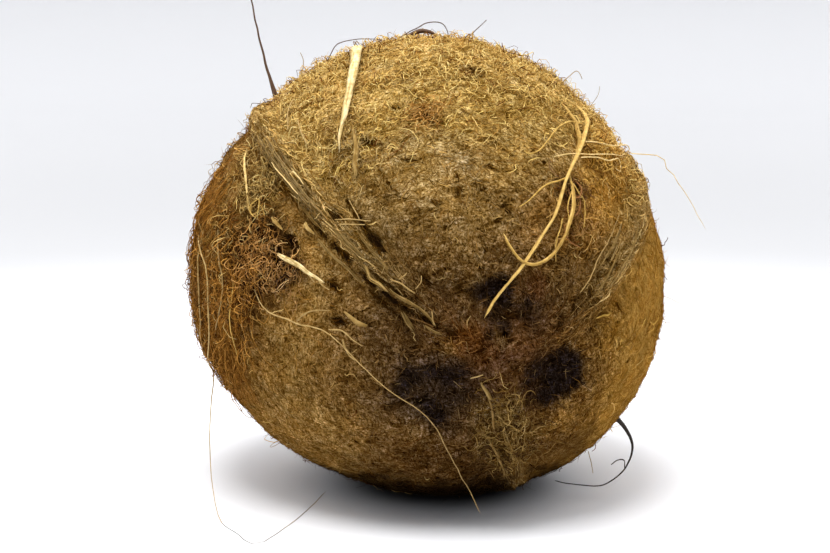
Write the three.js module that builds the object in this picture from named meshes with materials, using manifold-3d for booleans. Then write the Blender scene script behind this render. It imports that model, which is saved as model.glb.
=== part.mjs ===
// A brown coconut: the woody nut as sold, its thick husk pulled off, still covered in matted coir.
// Three raised seams run the length of the nut and meet at its eye end, between three soft eyes.
// The nut grew as one piece, so it is one solid. It lies on its side on a small flat spot.
// Units are millimetres and +Z is up. The origin is the middle of the flat spot.

import * as THREE from 'three';
import { mergeVertices } from 'three/addons/utils/BufferGeometryUtils.js';
import { ImprovedNoise } from 'three/addons/math/ImprovedNoise.js';
import Module from 'manifold-3d';

// ---- Driving dimensions -------------------------------------------------------------------

// The nut, from its widest section to each end, and its mean half width.
const EYE_END = 59.5;
const BACK_END = 54;
const HALF_WIDTH = 53;

// How far the nut is from round. Each share of the radius peaks at an angle round the nut.
const OVAL = { share: 0.0145, peak: 30 };
const THREE_SIDED = { share: 0.022, peak: -56 };
const LEAN = { share: 0.05, peak: -128 };

// Places on the nut are given as degrees along it from the eye end, and round it from the first seam.
const SEAMS = [0, 148.5, -109.5];
const SEAM_HEIGHT = 1.3;
const SEAM_HALF_WIDTH = 3.4;
const SEAM_GROOVE_DEPTH = 0.7;

// The eyes are soft round hollows with fuzzy lips, each the germ's way out of one third of the nut.
const EYES = [
  { along: 13.2, round: -55.2, radius: 5.6, depth: 2.6 },
  { along: 11.5, round: 72.8, radius: 7.6, depth: 2.4 },
  { along: 14.4, round: -150.2, radius: 7, depth: 2.8 },
];
const EYE_LIP_HEIGHT = 0.6;

// Matted coir: low lengthwise swells of felt, long along the nut and narrow round it.
const FELT_SWELL = 1.1;
const FELT_WIDTH = 6.5;
const FELT_LENGTH = 24;

// How the nut lies: which way the eye end points, how far it dips, and the turn about its length.
const HEADING = 13;
const DIP = 12.6;
const ROLL = 139.15;

// The lowest place of the lying nut. Its coir is pressed smooth, and it is worn to a small flat spot.
const REST = { along: 73.4, round: 134.4, pressedRadius: 34 };
const FLAT_SPOT_DEPTH = 0.9;

// The grid of the skin, with its columns drawn towards the seams and its rows towards the eyes.
const SKIN_COLUMNS = 75;
const SKIN_ROWS = 38;
const SEAM_PULL = 0.62;
const EYE_PULL = 1.25;

// Loose coir: three-sided strands that taper to nothing, with their roots sunk in the felt.
const ROOT_SINK = 1.4;
const STRAND_SPACING = 4.5;
const TUFT_COUNT = 170;
const TUFT_SEED = 20;
const TUFT_WIDTH = 1.5;
const TUFT_THICKNESS = 1.1;
const COIR_COLOUR = 0x8a6234;

// ---- The nut's surface --------------------------------------------------------------------

const radians = THREE.MathUtils.degToRad;
const noise = new ImprovedNoise();

// The smallest angle between two directions round the nut.
function turnBetween(a, b) {
  const turn = THREE.MathUtils.euclideanModulo(a - b + Math.PI, 2 * Math.PI) - Math.PI;
  return Math.abs(turn);
}

// A unit vector in the nut's own frame: its eye end is +Z and its first seam is on +X.
function direction(along, round) {
  return new THREE.Vector3(
    Math.sin(along) * Math.cos(round),
    Math.sin(along) * Math.sin(round),
    Math.cos(along),
  );
}

// The smooth nut: an egg of two half ellipsoids, pushed out of round.
function smoothRadius(along, round) {
  const end = along < Math.PI / 2 ? EYE_END : BACK_END;
  const egg = 1 / Math.hypot(Math.cos(along) / end, Math.sin(along) / HALF_WIDTH);
  const girth = Math.sin(along);
  const oval = OVAL.share * Math.cos(2 * (round - radians(OVAL.peak))) * girth ** 2;
  const sided = THREE_SIDED.share * Math.cos(3 * (round - radians(THREE_SIDED.peak))) * girth ** 3;
  const lean = LEAN.share * Math.cos(round - radians(LEAN.peak)) * girth * Math.cos(along);
  return egg * (1 + oval + sided + lean);
}

// A seam is a low crest with a groove down each side. It fades out at both ends of the nut.
function seamRelief(along, round) {
  const away = Math.min(...SEAMS.map((seam) => turnBetween(round, radians(seam))));
  const distance = away * HALF_WIDTH * Math.max(Math.sin(along), 0.12) / SEAM_HALF_WIDTH;
  const crest = SEAM_HEIGHT * Math.exp(-(distance ** 2));
  const groove = SEAM_GROOVE_DEPTH * Math.exp(-(((distance - 2) / 0.7) ** 2));
  const strength = THREE.MathUtils.smoothstep(Math.sin(along), 0, 0.25);
  return (crest - groove) * strength;
}

function eyeRelief(along, round) {
  const here = direction(along, round);
  let relief = 0;
  for (const eye of EYES) {
    const angle = here.angleTo(direction(radians(eye.along), radians(eye.round)));
    const distance = angle * EYE_END / eye.radius;
    relief -= eye.depth * Math.exp(-(distance ** 2));
    relief += EYE_LIP_HEIGHT * Math.exp(-(((distance - 1.5) / 0.4) ** 2));
  }
  return relief;
}

function feltRelief(point) {
  const swell = noise.noise(point.x / FELT_WIDTH, point.y / FELT_WIDTH, point.z / FELT_LENGTH);
  return FELT_SWELL * swell;
}

// 0 where the nut's weight has pressed the coir smooth, 1 away from there.
function unpressed(outward) {
  const angle = outward.angleTo(direction(radians(REST.along), radians(REST.round)));
  return THREE.MathUtils.smoothstep(angle * HALF_WIDTH, 0.5 * REST.pressedRadius, REST.pressedRadius);
}

// The place on the skin at these angles, raised by a lift.
function skinPoint(along, round, lift = 0) {
  const radius = smoothRadius(along, round);
  const outward = direction(along, round);
  const felt = feltRelief(outward.clone().multiplyScalar(radius));
  const relief = (seamRelief(along, round) + eyeRelief(along, round) + felt) * unpressed(outward);
  return outward.multiplyScalar(radius + relief + lift);
}

// ---- The skin -----------------------------------------------------------------------------

// Draws columns towards the seams: even steps of share between two seams become close steps near them.
function columnAngle(share) {
  const stops = [SEAMS[0], SEAMS[1], SEAMS[2] + 360, SEAMS[0] + 360].map(radians);
  const third = Math.min(Math.floor(share * 3), 2);
  const within = share * 3 - third;
  const eased = within - SEAM_PULL * Math.sin(2 * Math.PI * within) / (2 * Math.PI);
  return THREE.MathUtils.lerp(stops[third], stops[third + 1], eased);
}

function skinGeometry() {
  const geometry = new THREE.SphereGeometry(1, SKIN_COLUMNS, SKIN_ROWS);
  const { position, uv } = geometry.attributes;
  for (let i = 0; i < position.count; i += 1) {
    const row = Math.acos(THREE.MathUtils.clamp(position.getY(i), -1, 1)) / Math.PI;
    const atEnd = Math.min(row, 1 - row) < 0.001;
    const share = atEnd ? 0 : uv.getX(i) % 1;
    const place = skinPoint(Math.PI * row ** EYE_PULL, columnAngle(share));
    position.setXYZ(i, place.x, place.y, place.z);
  }
  return geometry;
}

// ---- Strands of coir ----------------------------------------------------------------------

// The nut's named strands. A route's points are [degrees along, degrees round, lift].
// A strand starts from its root in the felt and ends in a free tip.
const FLAT_STRIPS = [
  { name: 'crown strip', width: 2.1, thickness: 0.9,
    route: [[103, -32, 0], [82, -27, 1], [72, -22, 1.2], [63, -16, 1.3], [57, -12.5, 1.6]] },
  { name: 'seam chip', width: 1.3, thickness: 0.8,
    route: [[54, 18.5, 0], [48, 17, 1.4], [42, 15.5, 1.5], [37, 15, 2]] },
  { name: 'lower chip', width: 1.4, thickness: 0.8, route: [[33, 22, 0], [29, 22.7, 1.2], [26, 23, 1.4]] },
  { name: 'seam edge', width: 1.3, thickness: 0.8,
    route: [[53, 7, 0], [47, 6.5, 0.9], [40, 8, 1.1], [34, 8.5, 1.1], [30, 9, 1.4]] },
  { name: 'seam splinter', width: 1.4, thickness: 0.8,
    route: [[34, 5, 0], [27, 3, 1.5], [21, -1, 1.7], [14.5, 1, 1.2], [9, 4, 0.2]] },
  { name: 'under seam splinter', width: 1.4, thickness: 0.8,
    route: [[4, 110, 0], [10, 134, 1.5], [17, 138, 1.8], [25, 143, 1.8], [36, 145.5, 1.6]] },
  { name: 'right seam fibre', width: 0.9, thickness: 0.7,
    route: [[43, -99, 0], [37, -99, 0.9], [30, -99.5, 1], [23, -101, 1]] },
];

const LONG_STRANDS = [
  { name: 'golden strand', width: 1.1, thickness: 0.8,
    route: [[74, -82, 0], [66, -83, 1.4], [55, -80, 1.8], [43, -76, 2], [33, -73.5, 2],
      [24, -66, 2.2], [18, -57, 2.6], [13.5, -43, 3.4]] },
  { name: 'golden fork', width: 1, thickness: 0.8,
    route: [[70, -77, 0], [63, -78.5, 1.3], [56.5, -79.6, 1.3], [51, -79, 0.6]] },
  { name: 'golden hook', width: 0.9, thickness: 0.7,
    route: [[46, -77.5, 0.5], [38, -80, 2], [28, -79, 2.2], [23, -71, 2.4], [23, -61, 2.4], [28, -53, 2.2]] },
  { name: 'front strand', width: 0.8, thickness: 0.7,
    route: [[56, 31, 0], [49, 32.5, 1.7], [40, 33.5, 1.8], [30, 36.3, 1.8], [21, 51, 2], [16, 78, 2.2],
      [17, 104, 2.2], [24, 122, 2.4], [29, 127.5, 3.5], [30.5, 130.5, 8]] },
  { name: 'crown bristle', width: 1, thickness: 0.9,
    route: [[110.8, -5.5, 0], [110.8, -8.5, 5], [110.6, -11, 10.4], [110.4, -13.2, 15.9],
      [110.2, -15, 21.4], [110.1, -16, 24.4]] },
  { name: 'side curl', width: 1, thickness: 0.9,
    route: [[54.2, -173.5, 0], [56.6, -174.6, 3.2], [57, -176.6, 6.8], [56.9, 180, 8.6],
      [56.5, 175.5, 9.3], [56.1, 171.3, 8.9], [55.3, 166.4, 5.2]] },
];

// A route as a smooth curve in the nut's own frame, its first point pushed down into the felt.
function routeCurve(route) {
  const places = route.map(([along, round, lift], i) => {
    const sunk = i === 0 ? -ROOT_SINK : lift;
    return skinPoint(radians(along), radians(round), sunk);
  });
  return new THREE.CatmullRomCurve3(places, false, 'centripetal');
}

// A three-sided cone bent along a curve, wide across the skin and thin away from it.
function strandGeometry({ route, width, thickness }) {
  const curve = routeCurve(route);
  const steps = Math.max(2, Math.round(curve.getLength() / STRAND_SPACING));
  const geometry = new THREE.ConeGeometry(0.5, 1, 3, steps);
  const { position } = geometry.attributes;
  const corner = new THREE.Vector3();
  for (let i = 0; i < position.count; i += 1) {
    corner.fromBufferAttribute(position, i);
    const share = THREE.MathUtils.clamp(corner.y + 0.5, 0, 1);
    const centre = curve.getPointAt(share);
    const tangent = curve.getTangentAt(share);
    const outward = centre.clone().normalize();
    const across = new THREE.Vector3().crossVectors(tangent, outward).normalize();
    const up = new THREE.Vector3().crossVectors(across, tangent).normalize();
    const keep = Math.sqrt(1 - share) / Math.max(1 - share, 0.001);
    const place = centre
      .addScaledVector(across, corner.x * keep * width)
      .addScaledVector(up, corner.z * keep * thickness);
    position.setXYZ(i, place.x, place.y, place.z);
  }
  return geometry;
}

// A small repeatable random sequence between 0 and 1.
function randomSequence(seed) {
  let state = seed;
  return () => {
    state = (state * 16807) % 2147483647;
    return state / 2147483647;
  };
}

// Tufts stand all over the nut. Each leans along it and lifts its tip clear of the felt.
function tuftRoutes() {
  const random = randomSequence(TUFT_SEED);
  const routes = [];
  const goldenTurn = Math.PI * (3 - Math.sqrt(5));
  for (let i = 0; i < TUFT_COUNT; i += 1) {
    const height = 1 - (2 * i + 1) / TUFT_COUNT;
    const along = THREE.MathUtils.radToDeg(Math.acos(height)) + 5 * (random() - 0.5);
    const round = THREE.MathUtils.radToDeg(i * goldenTurn) + 8 * (random() - 0.5);
    const run = 5 + 7 * random();
    const spread = Math.max(Math.sin(radians(along)), 0.3);
    const sway = 12 * (random() - 0.5) / spread;
    const lift = 1.1 + 1.2 * random();
    const heading = along < 90 ? 1 : -1;
    if (unpressed(direction(radians(along), radians(round))) < 0.6) continue;
    routes.push([
      [along, round, 0],
      [along + 0.5 * heading * run, round + 0.3 * sway, lift],
      [along + heading * run, round + sway, lift + 0.5],
    ]);
  }
  return routes;
}

// ---- Solids -------------------------------------------------------------------------------

const wasm = await Module();
wasm.setup();

function toSolid(geometry) {
  const bare = geometry.clone();
  bare.deleteAttribute('normal');
  bare.deleteAttribute('uv');
  const merged = mergeVertices(bare, 0.001);
  const { array } = merged.attributes.position;
  const corners = Float32Array.from(array);
  const faces = Uint32Array.from(merged.index.array);
  return new wasm.Manifold(new wasm.Mesh({ numProp: 3, vertProperties: corners, triVerts: faces }));
}

function toGeometry(solid) {
  const { vertProperties, triVerts } = solid.getMesh();
  const geometry = new THREE.BufferGeometry();
  geometry.setAttribute('position', new THREE.BufferAttribute(vertProperties, 3));
  geometry.setIndex(new THREE.BufferAttribute(triVerts, 1));
  geometry.computeVertexNormals();
  return geometry;
}

// Turns the nut's own frame into how it lies.
function lyingTurn() {
  const dip = radians(DIP);
  const heading = radians(HEADING);
  const roll = radians(ROLL);
  const eyeEnd = new THREE.Vector3(
    Math.sin(heading) * Math.cos(dip),
    -Math.cos(heading) * Math.cos(dip),
    -Math.sin(dip),
  );
  const side = new THREE.Vector3(0, 0, 1).cross(eyeEnd).normalize();
  const top = new THREE.Vector3().crossVectors(eyeEnd, side);
  const firstSeam = side.clone().multiplyScalar(Math.cos(roll)).addScaledVector(top, Math.sin(roll));
  const across = new THREE.Vector3().crossVectors(eyeEnd, firstSeam);
  return new THREE.Matrix4().makeBasis(firstSeam, across, eyeEnd);
}

// Everything below the flat spot, as one wide block.
function floorBlock(spot) {
  const reach = 3 * EYE_END;
  const block = new THREE.BoxGeometry(reach, reach, reach);
  return block.translate(spot.x, spot.y, spot.z - reach / 2);
}

const turn = lyingTurn();
const skin = skinGeometry().applyMatrix4(turn);
const spot = skinPoint(radians(REST.along), radians(REST.round)).applyMatrix4(turn);
spot.z += FLAT_SPOT_DEPTH;

const tufts = tuftRoutes().map((route) => ({ route, width: TUFT_WIDTH, thickness: TUFT_THICKNESS }));
let nut = toSolid(skin);
for (const strand of [...FLAT_STRIPS, ...LONG_STRANDS, ...tufts]) {
  nut = nut.add(toSolid(strandGeometry(strand).applyMatrix4(turn)));
}
nut = nut.subtract(toSolid(floorBlock(spot)));
const whole = nut.decompose().sort((a, b) => b.volume() - a.volume())[0];

// ---- The coconut --------------------------------------------------------------------------

const coir = new THREE.MeshStandardMaterial({ color: COIR_COLOUR, roughness: 0.95, metalness: 0 });
const coconut = new THREE.Mesh(toGeometry(whole), coir);
coconut.name = 'coconut';
coconut.position.copy(spot).negate();

const group = new THREE.Group();
group.add(coconut);

export default group;
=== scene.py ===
# A brown coconut on a pale floor: the woody nut with its husk pulled off, covered in matted coir.
# Shapes are worked out in millimetres in the nut's own frame, with its eye end on +Z and its
# first seam on +X, then turned to how the nut lies and written in metres.

import math

import bpy
import numpy as np
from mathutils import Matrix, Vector


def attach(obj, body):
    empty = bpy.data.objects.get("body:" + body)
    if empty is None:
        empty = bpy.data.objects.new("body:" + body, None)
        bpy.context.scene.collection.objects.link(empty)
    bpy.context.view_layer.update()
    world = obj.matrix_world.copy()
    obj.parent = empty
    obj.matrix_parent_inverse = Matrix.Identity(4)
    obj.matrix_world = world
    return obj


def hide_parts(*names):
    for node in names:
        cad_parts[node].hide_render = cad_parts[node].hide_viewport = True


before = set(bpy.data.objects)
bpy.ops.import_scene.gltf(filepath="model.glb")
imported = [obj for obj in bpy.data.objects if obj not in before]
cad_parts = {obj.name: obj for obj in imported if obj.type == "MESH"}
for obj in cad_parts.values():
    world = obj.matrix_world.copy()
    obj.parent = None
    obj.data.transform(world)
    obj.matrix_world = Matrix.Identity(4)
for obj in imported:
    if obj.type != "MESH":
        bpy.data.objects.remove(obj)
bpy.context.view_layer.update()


# ---- The felt skin ---------------------------------------------------------------------------
# The nut's outer layer is coir pressed into a brown felt. It follows the shell under it: an egg
# a little out of round, with three raised seams that meet between three soft sunken eyes.

METRES = 0.001

# From the middle of the nut to its eye end, its back end and its side, in millimetres. The last
# is its usual radius, for patterns that need no exact one.
EYE_END = 59.5
BACK_END = 54.0
HALF_WIDTH = 53.0
MIDDLING_RADIUS = 55

# The girth is a little oval and a little three-sided, and the nut leans over to one side: each as
# a share of its radius, and the way round the nut in which it is strongest.
OVAL_SHARE, OVAL_PEAK = 0.0145, math.radians(30)
THREE_SIDED_SHARE, THREE_SIDED_PEAK = 0.022, math.radians(-56)
LEAN_SHARE, LEAN_PEAK = 0.05, math.radians(-128)

# Places are degrees along the nut from its eye end, and round it from the first seam.
FIRST_SEAM = 0.0
SECOND_SEAM = -109.5
THIRD_SEAM = 148.5
SEAMS = (FIRST_SEAM, THIRD_SEAM, SECOND_SEAM)
SEAM_HEIGHT = 1.3
SEAM_HALF_WIDTH = 2.7
SEAM_GROOVE_DEPTH = 0.7
SEAM_GROOVE_PLACE, SEAM_GROOVE_WIDTH = 1.9, 0.7  # in half widths of the seam
SEAM_GRAIN_DEPTH, SEAM_GRAIN_REACH = 0.7, 5.5
EYES = (  # along, round, radius, depth
    (13.2, -55.2, 5.6, 2.6),
    (11.5, 72.8, 7.6, 2.4),
    (14.4, -150.2, 7.0, 2.8),
)
EYE_LIP_HEIGHT = 0.6
EYE_LIP_PLACE, EYE_LIP_WIDTH = 1.5, 0.4  # in radii of the eye
LUMP_HEIGHTS = (0.5, 0.3, 0.22)
CRACKS = (  # from along and round, to along and round, half width, depth
    (104.0, 3.6, 78.0, 2.9, 0.5, 0.8),
    (93.2, 4.0, 89.0, 5.0, 1.1, 1.4),
    (80.0, 3.0, 60.0, 4.0, 0.5, 0.9),
    (66.0, 2.7, 63.5, 3.4, 0.6, 1.0),
    (60.7, 4.3, 54.2, 4.5, 0.4, 0.9),
    (51.2, 4.6, 45.7, 5.1, 0.6, 1.2),
    (43.7, 5.2, 38.0, 6.0, 0.5, 1.2),
    (40.5, 5.2, 38.0, 5.5, 0.8, 1.6),
    (54.7, 13.3, 50.7, 13.9, 1.1, 1.8),
    (49.0, -6.5, 43.5, -6.2, 0.35, 0.9),
    (43.5, -6.2, 37.7, -5.5, 0.5, 1.4),
    (38.5, -5.6, 33.2, -5.7, 0.85, 1.9),
    (41.4, -2.2, 35.2, -1.7, 0.4, 1.0),
    (48.5, -0.8, 45.7, -1.7, 0.8, 1.2),
    (52.0, -19.5, 41.0, -21.0, 0.35, 0.7),
    (33.4, 6.0, 29.9, 7.0, 0.5, 1.3),
    (27.9, 7.2, 23.7, 6.4, 0.6, 1.4),
    (22.7, 6.2, 15.5, 2.3, 0.4, 1.1),
    (31.9, 2.8, 24.4, 2.4, 0.45, 1.0),
    (31.0, 10.5, 20.0, 12.5, 0.4, 0.8),
    (13.4, 0.0, 10.7, -4.5, 0.5, 1.0),
    (39.4, 16.8, 36.4, 17.0, 0.85, 1.4),
    (34.9, 28.2, 32.2, 27.4, 0.85, 1.3),
    (25.7, -11.0, 21.9, -12.7, 0.5, 0.8),
    (20.2, 141.3, 21.5, 147.0, 0.7, 1.3),
    (22.7, 149.5, 23.5, 152.5, 0.4, 0.9),
    (17.0, 138.0, 9.0, 128.0, 0.35, 0.7),
    (35.2, -103.8, 35.0, -107.8, 0.65, 1.2),
    (44.7, -108.8, 42.9, -108.8, 0.4, 0.8),
    (31.0, -103.6, 29.0, -105.5, 0.4, 0.8),
    (27.0, -104.0, 25.0, -107.5, 0.45, 0.9),
    (22.5, -101.5, 20.0, -107.0, 0.5, 1.0),
    (18.0, -103.0, 15.0, -108.0, 0.5, 1.0),
    (32.7, -121.0, 32.4, -122.8, 0.45, 0.8),
    (40.5, -79.8, 44.0, -81.5, 0.9, 1.4),
    (35.0, -83.0, 32.0, -84.5, 0.6, 1.0),
    (59.5, -36.5, 57.5, -38.8, 0.9, 1.3),
    (75.5, -52.0, 74.0, -55.0, 0.8, 1.2),
    (66.0, -30.0, 64.0, -31.5, 0.6, 1.0),
    (59.0, -19.5, 56.5, -22.0, 0.8, 1.1),
    (48.7, -54.8, 45.2, -60.0, 0.3, 0.6),
    (43.7, -50.3, 41.2, -54.8, 0.35, 0.9),
    (39.0, -47.2, 36.9, -48.7, 0.35, 0.9),
    (42.5, -41.0, 34.9, -38.8, 0.3, 0.6),
    (49.2, -27.0, 47.4, -30.2, 0.5, 1.0),
    (34.0, -54.9, 33.4, -55.6, 0.4, 1.0),
    (37.7, -30.2, 36.0, -31.5, 0.4, 0.9),
    (43.0, -62.0, 42.2, -64.5, 0.35, 0.9),
)

# How the nut lies: its eye end points to the front, a little to the right and down, and it rests
# on a place low on its side, where its weight has pressed the felt smooth.
HEADING = math.radians(13)
DIP = math.radians(12.6)
ROLL = math.radians(139.15)
REST_ALONG, REST_ROUND = 73.4, 134.4
PRESSED_RADIUS = 34.0
FLAT_SPOT_DEPTH = 0.9


def place(along, around):
    """The unit direction of a place on the nut, from its two angles in degrees."""
    along, around = np.radians(along), np.radians(around)
    across = np.sin(along)
    return np.stack([across * np.cos(around), across * np.sin(around), np.cos(along)], -1)


def smooth_step(value, low, high):
    share = np.clip((value - low) / (high - low), 0, 1)
    return share * share * (3 - 2 * share)


def bell(distance, width=1):
    """1 in the middle and 0.37 at a width from it, dying away smoothly."""
    return np.exp(-((distance / width) ** 2))


def unit(vectors):
    """Vectors made 1 long, along the last axis."""
    return vectors / np.maximum(np.linalg.norm(vectors, axis=-1, keepdims=True), 1e-6)


def upright(vectors, out):
    """Vectors without their part along the unit directions out."""
    return vectors - out * np.sum(vectors * out, -1, keepdims=True)


def turn_from_seam(around, seam):
    """How far round the nut a place in radians is from a seam in degrees, in radians."""
    return np.abs((around - math.radians(seam) + np.pi) % (2 * np.pi) - np.pi)


def degrees_along(out):
    return np.degrees(np.arccos(np.clip(out[..., 2], -1, 1)))


def degrees_around(out):
    return np.degrees(np.arctan2(out[..., 1], out[..., 0]))


def angle_from(out, along, around):
    """The angle in radians between directions and one place."""
    return np.arccos(np.clip(out @ place(along, around), -1, 1))


def girth_at(out):
    """The nut's girth at each direction, as a share of its widest."""
    return np.sqrt(np.clip(1 - out[..., 2] ** 2, 0, 1))


def blotches(points, size, seed):
    """Smooth random values from -1 to 1 at points in millimetres, in lumps of about size."""
    # Each corner of a cell of the grid has its own value, scrambled from its whole numbers.
    grid = points / np.asarray(size, float)
    cell = np.floor(grid).astype(np.int64)
    within = grid - cell
    within = within * within * (3 - 2 * within)
    total = 0.0
    for corner in range(8):
        step = np.array([corner & 1, corner >> 1 & 1, corner >> 2 & 1])
        key = (cell + step) @ np.array([73856093, 19349663, 83492791]) + seed * 2654435761
        key = (key ^ (key >> 13)) * 1274126177 & 0xFFFFFFFF
        value = ((key ^ (key >> 15)) & 0xFFFF) / 32767.5 - 1
        total = total + value * np.prod(np.where(step, within, 1 - within), -1)
    return total


def seam_distance(out):
    """Millimetres from the nearest seam, measured round the nut."""
    around = np.arctan2(out[..., 1], out[..., 0])
    turn = np.min([turn_from_seam(around, seam) for seam in SEAMS], 0)
    return turn * HALF_WIDTH * np.maximum(girth_at(out), 0.12)


def crack_depth(out):
    """How deep the dry splits and pits in the felt are at each direction."""
    depth = np.zeros(out.shape[:-1])
    waver = 0.3 * blotches(out * EYE_END, 2.5, 31)
    for along_a, around_a, along_b, around_b, half_width, deep in CRACKS:
        start, end = place(along_a, around_a), place(along_b, around_b)
        run = end - start
        share = np.clip((out - start) @ run / (run @ run), 0, 1)
        gap = np.linalg.norm(out - start - share[..., None] * run, axis=-1) * EYE_END
        narrow = half_width * (0.45 + 0.55 * np.sqrt(4 * share * (1 - share)))
        depth = np.maximum(depth, deep * bell(gap + waver, narrow))
    return depth


def nut_radius(out, felt=1.0):
    """From the nut's middle to its skin, in millimetres, for unit directions.

    With felt at 0 it leaves out the small lumps, grain and splits, which longer strips bridge.
    """
    around = np.arctan2(out[..., 1], out[..., 0])
    lengthwise = out[..., 2]
    girth = girth_at(out)
    end = np.where(lengthwise > 0, EYE_END, BACK_END)
    egg = 1 / np.hypot(lengthwise / end, girth / HALF_WIDTH)
    oval = OVAL_SHARE * np.cos(2 * (around - OVAL_PEAK)) * girth**2
    sided = THREE_SIDED_SHARE * np.cos(3 * (around - THREE_SIDED_PEAK)) * girth**3
    lean = LEAN_SHARE * np.cos(around - LEAN_PEAK) * girth * lengthwise
    smooth = egg * (1 + oval + sided + lean)

    away = seam_distance(out)
    points = out * smooth[..., None]
    uneven = np.clip(away + 0.5 * blotches(points, 6, 3), 0, None) / SEAM_HALF_WIDTH
    crest = SEAM_HEIGHT * bell(uneven)
    groove = SEAM_GROOVE_DEPTH * bell(uneven - SEAM_GROOVE_PLACE, SEAM_GROOVE_WIDTH)
    combed = np.stack([away * 1.4, np.degrees(around) / 40, points[..., 2] / 6], -1)
    grain = SEAM_GRAIN_DEPTH * blotches(combed, 1, 5) * bell(away, SEAM_GRAIN_REACH)
    relief = (crest - groove + felt * grain) * smooth_step(girth, 0.05, 0.3)
    for along, eye_around, radius, depth in EYES:
        distance = angle_from(out, along, eye_around) * EYE_END / radius
        lip = EYE_LIP_HEIGHT * bell(distance - EYE_LIP_PLACE, EYE_LIP_WIDTH)
        relief = relief - depth * bell(distance) + lip

    long_lumps, small_lumps, crumbs = LUMP_HEIGHTS
    lumps = long_lumps * blotches(points, (6.5, 6.5, 20), 1)
    lumps = lumps + felt * small_lumps * blotches(points, (2.6, 2.6, 5.5), 2)
    lumps = lumps + felt * crumbs * blotches(points, 1.3, 4)
    relief = relief + lumps - felt * crack_depth(out)
    from_rest = angle_from(out, REST_ALONG, REST_ROUND) * HALF_WIDTH
    return smooth + relief * smooth_step(from_rest, 0.5 * PRESSED_RADIUS, PRESSED_RADIUS)


# The columns of "lying" are where the first seam, the side after it and the eye end point.
eye_end_way = np.array(
    [math.sin(HEADING) * math.cos(DIP), -math.cos(HEADING) * math.cos(DIP), -math.sin(DIP)]
)
side_way = unit(np.cross([0, 0, 1], eye_end_way))
top_way = np.cross(eye_end_way, side_way)
first_seam_way = side_way * math.cos(ROLL) + top_way * math.sin(ROLL)
lying = np.stack([first_seam_way, np.cross(eye_end_way, first_seam_way), eye_end_way], 1)
rest_direction = place(REST_ALONG, REST_ROUND)
rest_place = rest_direction * nut_radius(rest_direction) @ lying.T + [0, 0, FLAT_SPOT_DEPTH]
nut_middle = -rest_place * METRES


def lay_down(points):
    """Points in the nut's own frame, in millimetres, as the lying nut has them, in metres."""
    return points @ lying.T * METRES + nut_middle


def patch(out, along, around, size, soft, seed):
    """1 inside a round patch of size degrees, 0 outside it, with an uneven edge."""
    points = out * MIDDLING_RADIUS
    ragged = 0.7 * soft * blotches(points, 4, seed)
    torn = 0.5 * soft * blotches(points, 1.5, seed)
    uneven = np.degrees(angle_from(out, along, around)) + ragged + torn
    return 1 - smooth_step(uneven, size - soft, size + soft)


def screen_colour(red, green, blue):
    """A linear colour from its 0 to 255 values on a screen."""
    return np.array([((part / 255 + 0.055) / 1.055) ** 2.4 for part in (red, green, blue)])


# The felt's colour on each of the three faces between the seams: along, then its screen colour.
# The top face lies between the second seam and the first, the left face between the first and the
# third, and the right face between the third and the second. Besides the coir's own colour the
# ramps hold painted light and shade: paler over the crown, which faces the lamps, and darker
# towards the eye end, which lies low at the front.
TOP_FACE = (
    (8, 76, 48, 23), (20, 98, 69, 32), (32, 121, 90, 43), (45, 147, 112, 55), (58, 181, 143, 72),
    (75, 207, 168, 93), (100, 208, 168, 94), (125, 172, 132, 72), (155, 140, 102, 54),
)
LEFT_FACE = (
    (8, 74, 48, 22), (20, 97, 69, 33), (34, 124, 90, 42), (44, 141, 104, 47), (55, 140, 102, 46),
    (70, 145, 105, 46), (90, 138, 97, 43), (120, 126, 90, 42), (155, 122, 88, 42),
)
RIGHT_FACE = (
    (10, 84, 55, 25), (22, 120, 84, 35), (35, 150, 107, 41), (60, 157, 112, 43), (100, 142, 102, 44),
    (155, 124, 88, 42),
)
SEAM_GREY = screen_colour(170, 139, 84)
PATCHES = (  # along, round, size, soft, screen colour, share
    (73, 9, 8, 4, (120, 90, 44), 0.7),
    (60, 25, 10, 4, (68, 38, 15), 0.85),
    (49.5, 20.5, 4, 1.5, (50, 32, 20), 0.9),
    (74, 38, 15, 7, (104, 66, 26), 0.55),
    (67, 56, 8, 4, (136, 88, 36), 0.6),
    (42, -81, 4.0, 2.5, (84, 52, 28), 0.8),
    (59, -37, 3.5, 2.5, (118, 76, 36), 0.7),
    (74, -53, 2.5, 1.5, (104, 66, 34), 0.7),
    (46, -41, 4, 3, (158, 132, 84), 0.3),
    (52, -30, 4, 3, (150, 126, 82), 0.3),
    (8.4, -9, 2.6, 1.4, (114, 70, 28), 0.7),
    (4.2, -16, 2.4, 1.4, (92, 56, 22), 0.6),
    (10.4, 14, 1.6, 1, (120, 84, 34), 0.6),
    (7.4, -102, 2.4, 1.4, (90, 56, 24), 0.6),
    (6.4, -64, 2, 1.2, (104, 76, 34), 0.5),
    (18.7, -78.5, 2.8, 1.6, (92, 54, 24), 0.6),
    (11.5, -92, 3.4, 1.8, (92, 60, 26), 0.6),
    (36, 116, 18, 9, (84, 54, 20), 0.7),
    (118, -160, 18, 9, (146, 98, 48), 0.5),
    (128, 90, 20, 9, (140, 96, 48), 0.5),
    (105, 60, 14, 8, (150, 108, 54), 0.5),
    (80, 38, 22, 8, (76, 46, 18), 0.75),
    (62, 22, 9, 4, (40, 22, 8), 0.85),
    (12, 146, 5, 3, (140, 108, 54), 0.65),
    (22, 147, 6, 3, (142, 110, 56), 0.6),
    (13, 72, 9, 3.5, (66, 50, 32), 0.6),
    # Painted shade low on the right face, near where the nut rests.
    (33, 165, 11, 6, (84, 56, 24), 0.7),
    (49, -92, 9, 6, (156, 106, 34), 0.7),
    (66, -96, 9, 6, (180, 128, 52), 0.6),
    (36, -84, 8, 5, (150, 104, 44), 0.6),
    (31, -74, 6, 4, (142, 102, 48), 0.5),
    (91, 20, 8, 5, (156, 116, 52), 0.6),
    (74, 58, 8, 5, (148, 98, 36), 0.7),
)
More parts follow.
